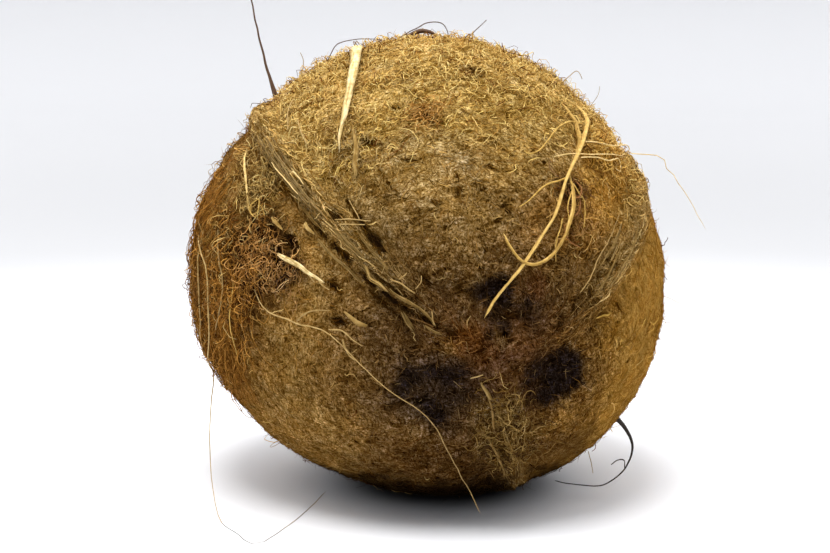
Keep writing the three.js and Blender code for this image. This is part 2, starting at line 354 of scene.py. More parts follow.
EYE_STAINS = (  # along, round, size, soft, share
    (16.2, -45, 2.6, 1.2, 0.95), (16.6, -54, 3.0, 1.2, 1.0), (14.4, -60, 2.4, 1.2, 0.9),
    (11.2, -52, 2.6, 1.2, 0.8), (9.1, -66, 1.7, 0.8, 0.85), (7.7, -43, 1.3, 0.7, 0.7),
    (15.4, -77, 1.3, 0.7, 0.8), (12.4, -77, 1.2, 0.7, 0.7), (19.2, -23, 3.2, 2.0, 0.35),
    (15.5, -137, 2.9, 1.0, 0.97), (18.5, -145, 3.2, 1.0, 1.0), (16.2, -157, 3.8, 1.1, 1.0),
    (15.5, -169, 2.5, 1.2, 1.0), (19.8, -156, 2.6, 1.4, 1.0), (9.8, -144, 2.8, 1.2, 0.85),
    (9.6, -162, 2.4, 1.2, 0.75), (12.4, -174, 2.0, 1.2, 0.7), (14.3, -82, 1.8, 1.0, 0.6),
    (12.5, -93, 1.6, 1.0, 0.6),
    (19, 70, 2.4, 1.6, 0.25), (18.4, 52, 2.0, 1.4, 0.4),
    (12.6, -147, 2.4, 1.0, 0.85), (8.7, -171, 1.5, 0.9, 0.6),
    (16.4, 50, 2.4, 1.1, 0.95), (12.4, 46, 2.4, 1.1, 0.95), (8.4, 55, 2.6, 1.0, 0.95),
    (5.7, 42, 1.6, 0.8, 0.8), (18.9, 59, 2.0, 1.1, 0.85), (15.9, 89, 2.6, 1.0, 1.0),
    (15.7, 77, 2.2, 1.0, 0.85), (12.0, 72, 5.2, 1.8, 0.5), (8.0, 83, 3.4, 1.4, 0.5),
)
EYE_BLACK = screen_colour(31, 21, 13)
# Painted shade on the underside: the colour, size, soft edge in degrees and share of the near-black patch
# round the place where the nut rests.
CONTACT_SHADE = screen_colour(24, 13, 5)
CONTACT_SHADE_SIZE, CONTACT_SHADE_SOFT, CONTACT_SHADE_SHARE = 39, 9, 0.9
PATCH_SEED, STAIN_SEED = 40, 70


def along_ramp(stops, along):
    """The colour at each number of degrees along, between the stops of a face."""
    reach = [stop[0] for stop in stops]
    parts = np.array([screen_colour(*stop[1:]) for stop in stops])
    return np.stack([np.interp(along, reach, parts[:, part]) for part in range(3)], -1)


def mixed_in(dye, share, colour):
    """Dye passed over to a colour by share."""
    return dye + share[..., None] * (colour - dye)


def on_top_face(around):
    """1 between the second seam and the first, and 0 elsewhere."""
    past_second = smooth_step(around, SECOND_SEAM - 4.5, SECOND_SEAM + 4.5)
    return past_second * (1 - smooth_step(around, FIRST_SEAM - 3, FIRST_SEAM + 4))


def on_right_face(around, at_second, at_third):
    """1 between the third seam and the second, and 0 elsewhere.

    The last two values are where the face fades out at each seam, in degrees from it.
    """
    before_second = 1 - smooth_step(around, *np.add(SECOND_SEAM, at_second))
    return before_second + smooth_step(around, *np.add(THIRD_SEAM, at_third))


def coir_colour_and_shade(out):
    """The coir's colour at each direction, with painted light and shade, before pale and dark fibres vary
    it.
    """
    points = out * MIDDLING_RADIUS
    patchy = blotches(points, 10, 11)
    along = degrees_along(out)
    uneven = along + 6 * patchy + 2.5 * blotches(points, 3.5, 12)
    around = degrees_around(out)
    top = on_top_face(around)
    right = on_right_face(around, (-4.5, 4.5), (-3.5, 3.5))
    dye = top[..., None] * along_ramp(TOP_FACE, uneven)
    dye = dye + right[..., None] * along_ramp(RIGHT_FACE, uneven)
    dye = dye + (1 - top - right)[..., None] * along_ramp(LEFT_FACE, uneven)
    for seed, (*spot, colour, share) in enumerate(PATCHES, PATCH_SEED):
        dye = mixed_in(dye, share * patch(out, *spot, seed), screen_colour(*colour))
    from_seam = np.clip(seam_distance(out) + 0.6 * blotches(points, 4, 12), 0, None)
    seam = bell(from_seam, 2.6) * smooth_step(along, 12, 40) * (0.8 + 0.2 * patchy)
    browner_third = patch(out, 25, 147, 22, 10, 38)
    dye = mixed_in(dye, seam * (1 - 0.6 * browner_third), SEAM_GREY)
    dye = dye * (1 + 0.12 * patchy + 0.16 * blotches(points, 2.2, 14))[..., None]
    for seed, (*spot, share) in enumerate(EYE_STAINS, STAIN_SEED):
        dye = mixed_in(dye, share * patch(out, *spot, seed), EYE_BLACK)
    # Painted shade: the felt is made nearly black round the place where the nut rests on the floor.
    painted_contact_shade = patch(out, REST_ALONG, REST_ROUND, CONTACT_SHADE_SIZE, CONTACT_SHADE_SOFT, 39)
    return mixed_in(dye, CONTACT_SHADE_SHARE * painted_contact_shade, CONTACT_SHADE)


def by_tone(tone):
    """A tone's three channels: coir is a deeper brown where it is dark, and paler where light."""
    return np.stack([tone, tone**1.2, tone ** np.where(tone < 1, 1.9, 1.5)], -1)


FRIZZ_PATCHES = (  # along, round, size, soft, share
    (73, 8, 9, 4, 1.0),
    (86, 7, 7, 4, 0.8),
    (60, 26, 10, 5, 1.0),
    (74, 34, 14, 6, 0.8),
    (88, 54, 14, 7, 0.6),
    (66, 54, 8, 5, 0.5),
    (58, -14, 6, 3, 0.9),
    (60, -89, 8, 4, 1.0),
    (42, -80, 4, 2, 1.0),
    (34, -85, 4, 3, 0.6),
)
FRIZZ_SEED = 90
THINNEST_FRIZZ = 0.015


def frizz_density(out):
    """How thick the loose curly coir stands, from 0 to 1."""
    points = out * MIDDLING_RADIUS
    along = degrees_along(out) + 9 * blotches(points, 8, 21)
    matted = blotches(points, 3.5, 22) + 0.5 * blotches(points, 1.8, 23)
    clumps = 0.35 + 0.65 * smooth_step(matted, -0.35, 0.3)
    density = on_top_face(degrees_around(out)) * smooth_step(along, 44, 64) * clumps
    density = np.maximum(density, 0.4 * smooth_step(along, 95, 120))
    for seed, (*spot, share) in enumerate(FRIZZ_PATCHES, FRIZZ_SEED):
        density = np.maximum(density, share * patch(out, *spot, seed))
    off_seam = smooth_step(seam_distance(out), 2, 4.5)
    return np.maximum(density * (0.15 + 0.85 * off_seam), THINNEST_FRIZZ)


BRIGHTEST_DYE = 0.85


def paint(mesh, dye):
    """Stores the coir's colour, which is linear, at each vertex of a mesh."""
    attribute = mesh.attributes.new("dye", "FLOAT_COLOR", "POINT")
    colours = np.ones((len(dye), 4), np.float32)
    colours[:, :3] = dye / np.maximum(np.max(dye, 1, keepdims=True) / BRIGHTEST_DYE, 1)
    attribute.data.foreach_set("color", colours.ravel())


def measure(mesh, name, values):
    """Stores a number at each vertex of a mesh."""
    attribute = mesh.attributes.new(name, "FLOAT", "POINT")
    attribute.data.foreach_set("value", np.ascontiguousarray(values, np.float32))


class Wire:
    """A shader's wire: sums of wires and numbers add their own Math nodes."""

    def __init__(self, tree, socket=None):
        self.tree = tree
        self.socket = socket

    def node(self, kind, values=None, output=0, **settings):
        """Adds a node with its settings and its sockets' values or wires. Gives one output."""
        made = self.tree.nodes.new("ShaderNode" + kind)
        for name, value in settings.items():
            setattr(made, name, value)
        for key, value in (values or {}).items():
            if isinstance(value, Wire):
                self.tree.links.new(value.socket, made.inputs[key])
            else:
                made.inputs[key].default_value = value
        return Wire(self.tree, made.outputs[output])

    def attribute(self, name, output="Fac"):
        """A number, or with output "Color" a colour, that a mesh holds at each vertex."""
        return self.node("Attribute", {}, output, attribute_name=name)

    def spot(self):
        """Where a point of the piece is, in metres."""
        return self.node("TexCoord", output="Object")

    def maths(self, operation, *values):
        return self.node("Math", dict(enumerate(values)), operation=operation)

    def __add__(self, other):
        return self.maths("ADD", self, other)

    def __sub__(self, other):
        return self.maths("SUBTRACT", self, other)

    def __rsub__(self, other):
        return self.maths("SUBTRACT", other, self)

    def __mul__(self, other):
        return self.maths("MULTIPLY", self, other)

    def __pow__(self, other):
        return self.maths("POWER", self, other)

    __radd__ = __add__
    __rmul__ = __mul__

    def at_least(self, other):
        return self.maths("MAXIMUM", self, other)

    def between(self, low, high):
        """0 below low, 1 above high, and smooth between them."""
        values = {"Value": self, "From Min": low, "From Max": high}
        return self.node("MapRange", values, interpolation_type="SMOOTHSTEP")

    def faded(self, other, share):
        """This wire, passing over to another one by share."""
        return self + (other - self) * share

    def toned(self, tone, warmth=0):
        """This colour at a tone, a deeper brown where it is dark, and redder by warmth."""
        red = tone * (1 + warmth)
        blue = tone**1.8 * (1 - 2.5 * warmth)
        channels = self.node("CombineXYZ", {0: red, 1: tone**1.2, 2: blue})
        return self.node("VectorMath", {0: self, 1: channels}, operation="MULTIPLY")

    def feeds(self, shader, socket):
        self.tree.links.new(self.socket, shader.inputs[socket])


def new_material(name, roughness, specular):
    """A material, the wires of its tree, and the shader that they end in."""
    material = bpy.data.materials.new(name)
    material.use_nodes = True
    shader = material.node_tree.nodes["Principled BSDF"]
    shader.inputs["Roughness"].default_value = roughness
    shader.inputs["Specular IOR Level"].default_value = specular
    return material, Wire(material.node_tree), shader


def felt_material():
    """Matted felt: fine hairs in drifts, small holes and gaps painted dark as shade, and a hard grain on the
    seams.
    """
    material, wires, shader = new_material("coir_felt", roughness=0.95, specular=0.0)
    spot = wires.spot()

    def noise(vector, scale, detail=2, roughness=0.6):
        values = {"Vector": vector, "Scale": scale, "Detail": detail, "Roughness": roughness}
        return wires.node("TexNoise", values)

    def drawn_out(turn, share):
        """Coordinates that make a noise share times longer along one way over the nut."""
        turns = (0.3, math.radians(turn), 0.2)
        values = {"Vector": spot, "Rotation": turns, "Scale": (1, 1, share)}
        return wires.node("Mapping", values, vector_type="TEXTURE")

    def drift(turn, scale, width):
        """Thin hairs that lie one way, where a drawn out noise passes its middle value."""
        line = noise(drawn_out(turn, 5), scale, roughness=0.5) - 0.5
        return 1 - line.maths("ABSOLUTE", line).between(0, width)

    # A noise's scale is its number of lumps a metre, so 1000 makes hairs about a millimetre apart.
    lie = noise(spot, 260, detail=1)
    hair = drift(80, 1000, 0.08).faded(drift(-35, 1000, 0.08), lie.between(0.44, 0.56))
    hair = hair.at_least(0.8 * drift(25, 1100, 0.06))
    shadow = drift(105, 1100, 0.07).faded(drift(-10, 1100, 0.07), lie.between(0.4, 0.5))
    mottle = noise(spot, 170, detail=4).between(0.3, 0.7)
    lumps = noise(spot, 620).between(0.3, 0.7)
    fine = noise(spot, 2200, detail=3, roughness=0.7).between(0.34, 0.66)
    holes = wires.node("TexVoronoi", {"Vector": spot, "Scale": 190}) + 0.16 * lumps
    holes = 1 - holes.between(0.1, 0.2)
    warmth = 0.22 * (noise(spot, 330) - 0.5)
    gaps = noise(drawn_out(70, 4), 640, roughness=0.5).between(0.57, 0.64)
    # The shadow lines, the gaps and the holes are painted shade between and under the hairs.
    tone = (0.5 + 0.72 * fine + 0.44 * hair - 0.4 * shadow) * (0.72 + 0.36 * lumps)
    tone = (tone * (0.84 + 0.32 * mottle)).at_least(0.12) * (1 - 0.45 * gaps)

    # On a seam the grain follows the seam: close across it, and drawn out along it.
    across = wires.attribute("seam_across")
    along = wires.attribute("seam_along")
    on_seam = wires.attribute("on_seam")
    run = wires.node("CombineXYZ", {0: across * 2.3, 1: along * 0.16})
    strands = noise(run, 1, detail=3, roughness=0.65).between(0.3, 0.68)
    seam_tone = (0.3 + 0.7 * strands + 0.2 * lumps) * (0.4 + 0.75 * fine)
    tone = tone.faded(seam_tone, on_seam) * (1 - 0.75 * holes)

    # The exponent is high where the felt is coarse, round the eyes, and low where it is suede.
    dye = wires.attribute("dye", "Color")
    dye.toned(tone ** wires.attribute("coarse") * 1.72, warmth).feeds(shader, "Base Color")
    height = 0.4 * fine + 0.7 * hair - 0.5 * shadow + 0.6 * lumps - holes + strands * on_seam
    bump = wires.node("Bump", {"Height": height, "Strength": 1.0, "Distance": 0.0006})
    bump.feeds(shader, "Normal")
    return material


SKIN_CUTS = 110
bpy.ops.object.select_all(action="DESELECT")
bpy.ops.mesh.primitive_cube_add(size=2, location=(0, 0, 0))
skin = bpy.context.object
skin.name = "felt_skin"
bpy.ops.object.mode_set(mode="EDIT")
bpy.ops.mesh.select_all(action="SELECT")
bpy.ops.mesh.subdivide(number_cuts=SKIN_CUTS)
bpy.ops.object.mode_set(mode="OBJECT")

# The cube's points are spread evenly over a ball, and then moved out to the skin.
corners = np.zeros(len(skin.data.vertices) * 3)
skin.data.vertices.foreach_get("co", corners)
cube = np.tan(corners.reshape(-1, 3) * math.pi / 4)
outward = unit(cube)
skin_points = lay_down(outward * nut_radius(outward)[:, None])
skin_points[:, 2] = np.maximum(skin_points[:, 2], 0)
skin.data.vertices.foreach_set("co", skin_points.ravel())
bpy.ops.object.shade_smooth()

shade_under_frizz = 1 - 0.45 * frizz_density(outward)
shade_in_cracks = 1 - 0.75 * np.clip(crack_depth(outward) / 1.4, 0, 1)
paint(skin.data, coir_colour_and_shade(outward) * by_tone(shade_under_frizz * shade_in_cracks))
from_seam = seam_distance(outward)
skin_along = degrees_along(outward)
suede = on_right_face(degrees_around(outward), (-6.5, 3.5), (-3.5, 3.5))
near_eyes = 1 - smooth_step(skin_along, 20, 42)
measure(skin.data, "coarse", 1.15 + 0.45 * near_eyes - 0.65 * suede * (1 - near_eyes))
measure(skin.data, "seam_across", from_seam)
measure(skin.data, "seam_along", skin_along)
measure(skin.data, "on_seam", bell(from_seam, 4) * smooth_step(skin_along, 10, 24))
skin.data.materials.clear()
skin.data.materials.append(felt_material())
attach(skin, "root")
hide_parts("coconut")


# ---- Matted coir fibres ----------------------------------------------------------------------
# Short coarse fibres lie pressed on the felt in every direction, as the husk tore away. Each is
# a three-sided tapered hair, modelled once straight and bent along its own way over the nut.

FELT_FIBRES = (  # piece, end of the nut, amount
    ("felt_fibres_front", 1, 13000),
    ("felt_fibres_back", -1, 8060),
)
FELT_TRIES = 27500
DEEPEST_ROOT = 0.35
FLOOR_GAP = 0.05
UV_MARGIN = 0.15
dice = np.random.default_rng(7)


def straight_fibre(steps, sides=3):
    """One straight fibre, 1 long and 1 thick, cut into steps, as its corners and faces."""
    bpy.ops.object.select_all(action="DESELECT")
    bpy.ops.mesh.primitive_cone_add(
        vertices=sides, radius1=0.5, radius2=0, depth=1, end_fill_type="NGON", location=(0, 0, 0.5)
    )
    fibre = bpy.context.object
    bpy.ops.object.transform_apply(location=True)
    bpy.ops.object.mode_set(mode="EDIT")
    for step in range(1, steps):
        bpy.ops.mesh.select_all(action="SELECT")
        bpy.ops.mesh.bisect(plane_co=(0, 0, step / steps), plane_no=(0, 0, 1))
    bpy.ops.object.mode_set(mode="OBJECT")
    points = np.array([vertex.co for vertex in fibre.data.vertices])
    # The cone is made as thick all along as at its foot, and the copies have tapers of their own.
    points[:, :2] /= np.where(points[:, 2:] < 0.999, np.maximum(1 - points[:, 2:], 0.001), 1)
    faces = [tuple(face.vertices) for face in fibre.data.polygons]
    bpy.data.objects.remove(fibre)
    return points, faces


def sides_of(paths):
    """The ways across and up from each path at every stop, carried on without a twist."""
    tangent = unit(np.gradient(paths, axis=1))
    # The nudge gives a way across even to a path that starts straight up from the skin.
    across = np.cross(tangent[:, 0], unit(paths[:, 0]) + [0.02, 0.05, 0.03])
    carried = []
    for stop in range(paths.shape[1]):
        across = unit(upright(across, tangent[:, stop]))
        carried.append(across)
    across = np.stack(carried, 1)
    return across, np.cross(across, tangent)


def bent_copies(name, template, paths, widths, dye, material, flatness):
    """One piece of a template bent along each path, with a width in millimetres at each stop."""
    points, faces = template
    count, stops = paths.shape[:2]
    reach = points[:, 2] * (stops - 1)
    lower = np.minimum(reach.astype(int), stops - 2)
    within = (reach - lower)[None, :, None]

    def at(values):
        return values[:, lower] * (1 - within) + values[:, lower + 1] * within

    across, up = sides_of(paths)
    width = at(widths[:, :, None])
    sideways = at(across) * width * points[None, :, :1]
    upwards = at(up) * width * flatness * points[None, :, 1:2]
    placed = lay_down((at(paths) + sideways - upwards).reshape(-1, 3))
    placed[:, 2] = np.maximum(placed[:, 2], FLOOR_GAP * METRES)

    mesh = bpy.data.meshes.new(name)
    loops = np.concatenate([np.array(face) for face in faces])
    sizes = np.array([len(face) for face in faces])
    starts = np.concatenate([[0], np.cumsum(sizes)[:-1]])
    shift = np.arange(count)[:, None]
    mesh.vertices.add(len(placed))
    mesh.vertices.foreach_set("co", placed.ravel())
    mesh.loops.add(count * len(loops))
    mesh.loops.foreach_set("vertex_index", (loops + shift * len(points)).ravel().astype(np.int32))
    mesh.polygons.add(count * len(faces))
    mesh.polygons.foreach_set("loop_start", (starts + shift * len(loops)).ravel().astype(np.int32))
    mesh.update(calc_edges=True)
    mesh.polygons.foreach_set("use_smooth", np.ones(count * len(faces), bool))

    # In the UV map each copy has a square of its own, with a margin round it.
    cells = math.ceil(math.sqrt(count))
    turn = np.arctan2(points[:, 1], points[:, 0]) / (2 * np.pi) + 0.5
    flat = UV_MARGIN + (1 - 2 * UV_MARGIN) * np.stack([turn, points[:, 2]], 1)[loops]
    cell = np.stack([np.arange(count) % cells, np.arange(count) // cells], 1)
    layout = (flat[None] + cell[:, None]) / cells
    mesh.uv_layers.new(name="OFBake").data.foreach_set("uv", layout.ravel())
    paint(mesh, np.repeat(dye, len(points), 0))
    piece = bpy.data.objects.new(name, mesh)
    bpy.context.scene.collection.objects.link(piece)
    piece.data.materials.append(material)
    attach(piece, "root")


def fibre_material(name, roughness, specular, scale=900, detail=2, darkest=0.5, spread=1.0):
    """Loose coir: the colour of each fibre, uneven along its length."""
    material, wires, shader = new_material(name, roughness, specular)
    uneven = wires.node("TexNoise", {"Vector": wires.spot(), "Scale": scale, "Detail": detail})
    dye = wires.attribute("dye", "Color")
    dye.toned(darkest + spread * uneven).feeds(shader, "Base Color")
    return material


def scattered(count, density=None, tries=12):
    """Random directions, even all over the nut or thicker where its density is higher."""
    out = unit(dice.normal(size=(count * (1 if density is None else tries), 3)))
    if density is not None:
        out = out[dice.random(len(out)) < density(out)]
    return out[:count]


def turned(ways, out, angle):
    """Ways over the nut at directions out, each turned by its own angle."""
    return ways * np.cos(angle)[:, None] + np.cross(out, ways) * np.sin(angle)[:, None]


def lengthwise(out, turn):
    """Headings that run from the eye end to the back, each turned by its own angle."""
    return turned(unit(upright(np.array([0, 0, -1.0]), out)), out, turn)


def any_way(out):
    """Headings that point any way over the nut."""
    return lengthwise(out, dice.uniform(-np.pi, np.pi, len(out)))


def wander(out, heading, length, bends):
    """Walks over the nut from directions out, turning by bends. Gives each direction passed."""
    steps = bends.shape[1]
    ways = [out]
    for step in range(steps):
        heading = turned(heading, out, bends[:, step])
        out = unit(out + heading * (length / steps / HALF_WIDTH)[:, None])
        heading = unit(upright(heading, out))
        ways.append(out)
    return np.stack(ways, 1)


def risen(ways, lifts):
    """Points above the skin, in millimetres, for walked directions and their lifts."""
    return ways * (nut_radius(ways) + lifts)[..., None]


def toned(roots, middle, spread):
    """The coir's colour at roots, each made lighter or darker, and some of them redder."""
    tone = middle * np.exp(spread * np.minimum(dice.normal(0, 1, len(roots)), 1.0))
    red = np.abs(dice.normal(0, 0.05, len(roots)))
    reddened = np.stack([1 + 0.3 * red, 1 - 0.9 * red, 1 - 2 * red], 1)
    return coir_colour_and_shade(roots) * by_tone(tone) * reddened


def tapered(share, count, thinnest, thickest, taper=0.5):
    """Widths at each share of the fibres' lengths, less by taper at their tips."""
    return dice.uniform(thinnest, thickest, count)[:, None] * (1 - taper * share)


felt_fibre = straight_fibre(2)
felt_fibre_finish = fibre_material("coir_fibre", roughness=0.9, specular=0.0)
for name, end, amount in FELT_FIBRES:
    roots = scattered(FELT_TRIES)
    roots = roots[(roots[:, 2] * end >= 0) & (crack_depth(roots) < DEEPEST_ROOT)][:amount]
    count = len(roots)
    near_seam = 1 - smooth_step(seam_distance(roots), 4, 9)
    drift = dice.normal(0, 0.8, count) + 1.2 * blotches(roots * MIDDLING_RADIUS, 9, 41)
    turn = drift * (1 - near_seam) + near_seam * dice.normal(0, 0.2, count)
    length = dice.uniform(1.5, 5.5, count)
    bends = dice.normal(0, 0.4, (count, 1)) * np.ones((1, 2))
    ways = wander(roots, lengthwise(roots, turn), length, bends)
    tip = dice.exponential(0.22, count)
    lifts = np.stack([np.full(count, -0.2), 0.12 + 0.4 * tip, tip], 1)
    widths = dice.uniform(0.12, 0.25, count)[:, None] * [1, 0.8, 0]
    suede = on_right_face(degrees_around(roots), (-10.5, 1.5), (-5.5, 4.5))
    dye = toned(roots, middle=0.92, spread=0.5 - 0.25 * suede)
    bent_copies(name, felt_fibre, risen(ways, lifts), widths, dye, felt_fibre_finish, flatness=0.6)


# ---- Curly frizz -----------------------------------------------------------------------------
# Where the husk tore off last, loose golden coir stands up in a mat of fine springy curls. It is
# thickest over the crown and in tangles beside the seams, and each curl keeps its own bend.

FRIZZ_CURLS = 5200
FRIZZ_STEPS = 5
RUSTY_CURL = screen_colour(116, 68, 24)
STRAW_CURL = screen_colour(232, 196, 122)


def curly(count, steps, straightest, tightest, flips):
    """Bends of curls: each has its own tightness, and turns back after a share of its steps."""
    curl = dice.uniform(straightest, tightest, count) * dice.choice([-1, 1], count)
    flip = np.where(dice.random((count, steps)) < flips, -1, 1).cumprod(1)
    return curl[:, None] * flip + dice.normal(0, 0.3, (count, steps))


def arched(share, count, rise, rise_range, tip, most_tip):
    """Lifts of curls that come out of the felt, arch up by rise, and end higher by tip."""
    rise = dice.exponential(rise, count).clip(*rise_range)[:, None]
    tip = dice.exponential(tip, count).clip(0, most_tip)[:, None]
    out_of_felt = -0.2 + 0.4 * smooth_step(share, 0, 0.2)
    return out_of_felt + rise * np.sin(share * np.pi) + tip * share**2


def partly_dyed(dye, amount, strength, colour):
    """Dye, with a random amount of its fibres passed over to a colour by strength."""
    picked = dice.random(len(dye)) < amount
    return mixed_in(dye, strength * picked, colour)


frizz_curl = straight_fibre(FRIZZ_STEPS)
frizz_finish = fibre_material("frizz_coir", roughness=0.8, specular=0.02)
for name in ("frizz_lower", "frizz_upper"):
    roots = scattered(FRIZZ_CURLS, frizz_density)
    count = len(roots)
    heading = any_way(roots)
    short = dice.random(count) < 0.75
    length = np.where(short, dice.uniform(1.4, 3.4, count), dice.uniform(3, 6.5, count))
    bends = curly(count, FRIZZ_STEPS, straightest=0.1, tightest=0.9, flips=0.4)
    ways = wander(roots, heading, length, bends)
    share = np.linspace(0, 1, FRIZZ_STEPS + 1)
    lifts = arched(share, count, rise=0.5, rise_range=(0.05, 2.0), tip=0.45, most_tip=2.0)
    waves = share * dice.uniform(5, 12, (count, 1)) + dice.uniform(0, 6, (count, 1))
    lifts = lifts + 0.2 * np.sin(waves)
    widths = tapered(share, count, 0.13, 0.28, taper=0.4)
    dye = toned(roots, middle=1.32, spread=0.65) * [0.98, 1.03, 1.08]
    rusty = dice.random(count) < 0.14
    dye[rusty] = RUSTY_CURL * by_tone(dice.uniform(0.4, 1, rusty.sum()))
    dye = partly_dyed(dye, 0.15, 0.6, STRAW_CURL)
    bent_copies(name, frizz_curl, risen(ways, lifts), widths, dye, frizz_finish, flatness=0.8)


# ---- Tangles ---------------------------------------------------------------------------------
# In some spots beside the seams the torn coir has rolled up in tangles of stouter curls, from
# straw to rust in colour, with deep gaps between them.

TANGLES = (  # along, round, spread in degrees, amount, screen colour
    (73, 8, 4.5, 170, (176, 144, 82)),
    (86, 7, 3.5, 70, (176, 142, 80)),
    (61, 23, 4.5, 260, (172, 122, 62)),
    (52, 22.5, 3.2, 120, (166, 124, 74)),
    (67, 35, 5.5, 240, (164, 112, 46)),
    (78, 26, 5.0, 110, (158, 120, 60)),
    (57, -15, 3.2, 90, (158, 128, 76)),
    (67, -15, 3.0, 60, (176, 142, 80)),
    (60, -88, 3.2, 80, (206, 160, 78)),
    (42, -81, 1.8, 40, (92, 60, 36)),
    (35, -85, 2.0, 30, (140, 98, 52)),
    (59, -38, 2.4, 50, (176, 126, 62)),
    (8, 152, 2.4, 60, (132, 100, 50)),
    (14, 148, 2.6, 90, (132, 100, 50)),
    (22, 149, 2.8, 90, (132, 100, 50)),
    (12, 148, 3.6, 60, (66, 42, 18)),
    (22, 148, 4.0, 70, (66, 42, 18)),
)
TANGLE_STEPS = 6
tangle_curl = straight_fibre(TANGLE_STEPS)
roots, dye = [], []
for along, around, spread, amount, colour in TANGLES:
    roots.append(unit(place(along, around) + dice.normal(0, math.radians(spread), (amount, 3))))
    dye.append(screen_colour(*colour) * by_tone(np.exp(dice.normal(0, 0.4, amount))))
roots = np.concatenate(roots)
count = len(roots)
length = dice.uniform(1.8, 6.5, count)
bends = curly(count, TANGLE_STEPS, straightest=0.3, tightest=1.1, flips=0.25)
ways = wander(roots, any_way(roots), length, bends)
share = np.linspace(0, 1, TANGLE_STEPS + 1)
lifts = arched(share, count, rise=0.7, rise_range=(0.1, 2.2), tip=0.5, most_tip=1.8)
widths = tapered(share, count, 0.13, 0.26, taper=0.4)
dye = np.concatenate(dye)
bent_copies("tangles", tangle_curl, risen(ways, lifts), widths, dye, frizz_finish, flatness=0.85)


# ---- Stray hairs -----------------------------------------------------------------------------
# A thin fuzz of single hairs stands off the felt all round, shorter on the sides, and shows best
# against the light along the nut's outline.

STRAY_HAIRS = 2200
STRAY_STEPS = 5
stray_hair = straight_fibre(STRAY_STEPS)
roots = scattered(STRAY_HAIRS, lambda out: 0.2 + 0.6 * frizz_density(out))
count = len(roots)
length = dice.gamma(3, 0.8, count).clip(1, 7)
curl = dice.normal(0, 0.35, count)
bends = curl[:, None] + dice.normal(0, 0.2, (count, STRAY_STEPS))
ways = wander(roots, any_way(roots), 0.75 * length, bends)
share = np.linspace(0, 1, STRAY_STEPS + 1)
stand = (length * dice.uniform(0.15, 0.75, count))[:, None]
lifts = -0.3 + stand * share ** dice.uniform(0.7, 1.6, (count, 1))
widths = tapered(share, count, 0.07, 0.14)
dye = toned(roots, middle=1.1, spread=0.4)
bent_copies("stray_hairs", stray_hair, risen(ways, lifts), widths, dye, frizz_finish, flatness=1)


# ---- Seam fibres -----------------------------------------------------------------------------
# Along each seam the coir lies straight, side by side in a hard greyish band that runs from the
# eyes to the back. Ends of it have split off and stand a little proud.

SEAM_FIBRES = (1700, 900, 1300)
SEAM_STEPS = 4
seam_fibre = straight_fibre(SEAM_STEPS)
seam_roots = []
for seam, amount in zip(SEAMS, SEAM_FIBRES):
    along = dice.uniform(10, 160, amount)
    offset = dice.normal(0, 1.7, amount) / (HALF_WIDTH * np.sin(np.radians(along)))
    seam_roots.append(place(along, seam + np.degrees(offset)))
roots = np.concatenate(seam_roots)
roots = roots[crack_depth(roots) < 0.4]
count = len(roots)
crumb = dice.random(count) < 0.25 + 0.45 * smooth_step(roots[:, 2], 0.5, 0.75)
length = np.where(crumb, dice.uniform(0.8, 2.4, count), dice.uniform(3.0, 9, count))
bends = dice.normal(0, 0.08, (count, SEAM_STEPS)) + dice.normal(0, 0.06, (count, 1))
turn = dice.normal(0, 0.1, count) * np.where(crumb, 8, 1)
ways = wander(roots, lengthwise(roots, turn), length, bends)
share = np.linspace(0, 1, SEAM_STEPS + 1)
tip = dice.exponential(0.14, count)[:, None]
lifts = -0.3 + 0.4 * smooth_step(share, 0, 0.3) + tip * share
widths = np.where(crumb, dice.uniform(0.15, 0.28, count), dice.uniform(0.15, 0.34, count))
widths = widths[:, None] * (1 - 0.5 * share)
dye = toned(roots, middle=0.9, spread=0.85)
bent_copies("seam_fibres", seam_fibre, risen(ways, lifts), widths, dye, felt_fibre_finish, flatness=0.5)


# ---- Dark lint -------------------------------------------------------------------------------
# In the splits and pits short dark ends line their sides, painted nearly black as shade where the splits are
# deepest.

LINT_THICKNESS = 7
CRACK_SHADE_BLACK = screen_colour(26, 16, 9)
lint_fibre = straight_fibre(2)
roots, runs = [], []
for along_a, around_a, along_b, around_b, half_width, deep in CRACKS:
    start, end = place(along_a, around_a), place(along_b, around_b)
    reach = np.linalg.norm(end - start) * EYE_END + 2 * half_width
    amount = round(LINT_THICKNESS * reach * half_width * deep)
    spots = start + (end - start) * dice.random((amount, 1))
    roots.append(spots + dice.normal(0, 0.5 * half_width / EYE_END, (amount, 3)))
    runs.append(np.broadcast_to(end - start, (amount, 3)))
roots = unit(np.concatenate(roots))
runs = unit(upright(np.concatenate(runs), roots))
count = len(roots)
bends = dice.normal(0, 0.35, (count, 2))
ways = wander(roots, runs, dice.uniform(0.7, 2.2, count), bends)
lifts = 0.6 * crack_depth(ways) + dice.uniform(-0.1, 0.35, (count, 1)) * [0, 1, 1]
widths = dice.uniform(0.2, 0.42, count)[:, None] * [1, 0.8, 0]
# Painted shade: the ends are made nearly black where the splits are deepest.
painted_crack_shade = 0.75 * smooth_step(crack_depth(roots), 0.7, 1.3)
dye = mixed_in(toned(roots, middle=0.3, spread=0.5), painted_crack_shade, CRACK_SHADE_BLACK)
bent_copies("dark_lint", lint_fibre, risen(ways, lifts), widths, dye, felt_fibre_finish, flatness=0.7)


# ---- Eye and pole fuzz -----------------------------------------------------------------------
# Round the three soft eyes the coir is a dark plush, worn short, with a few pale hairs.

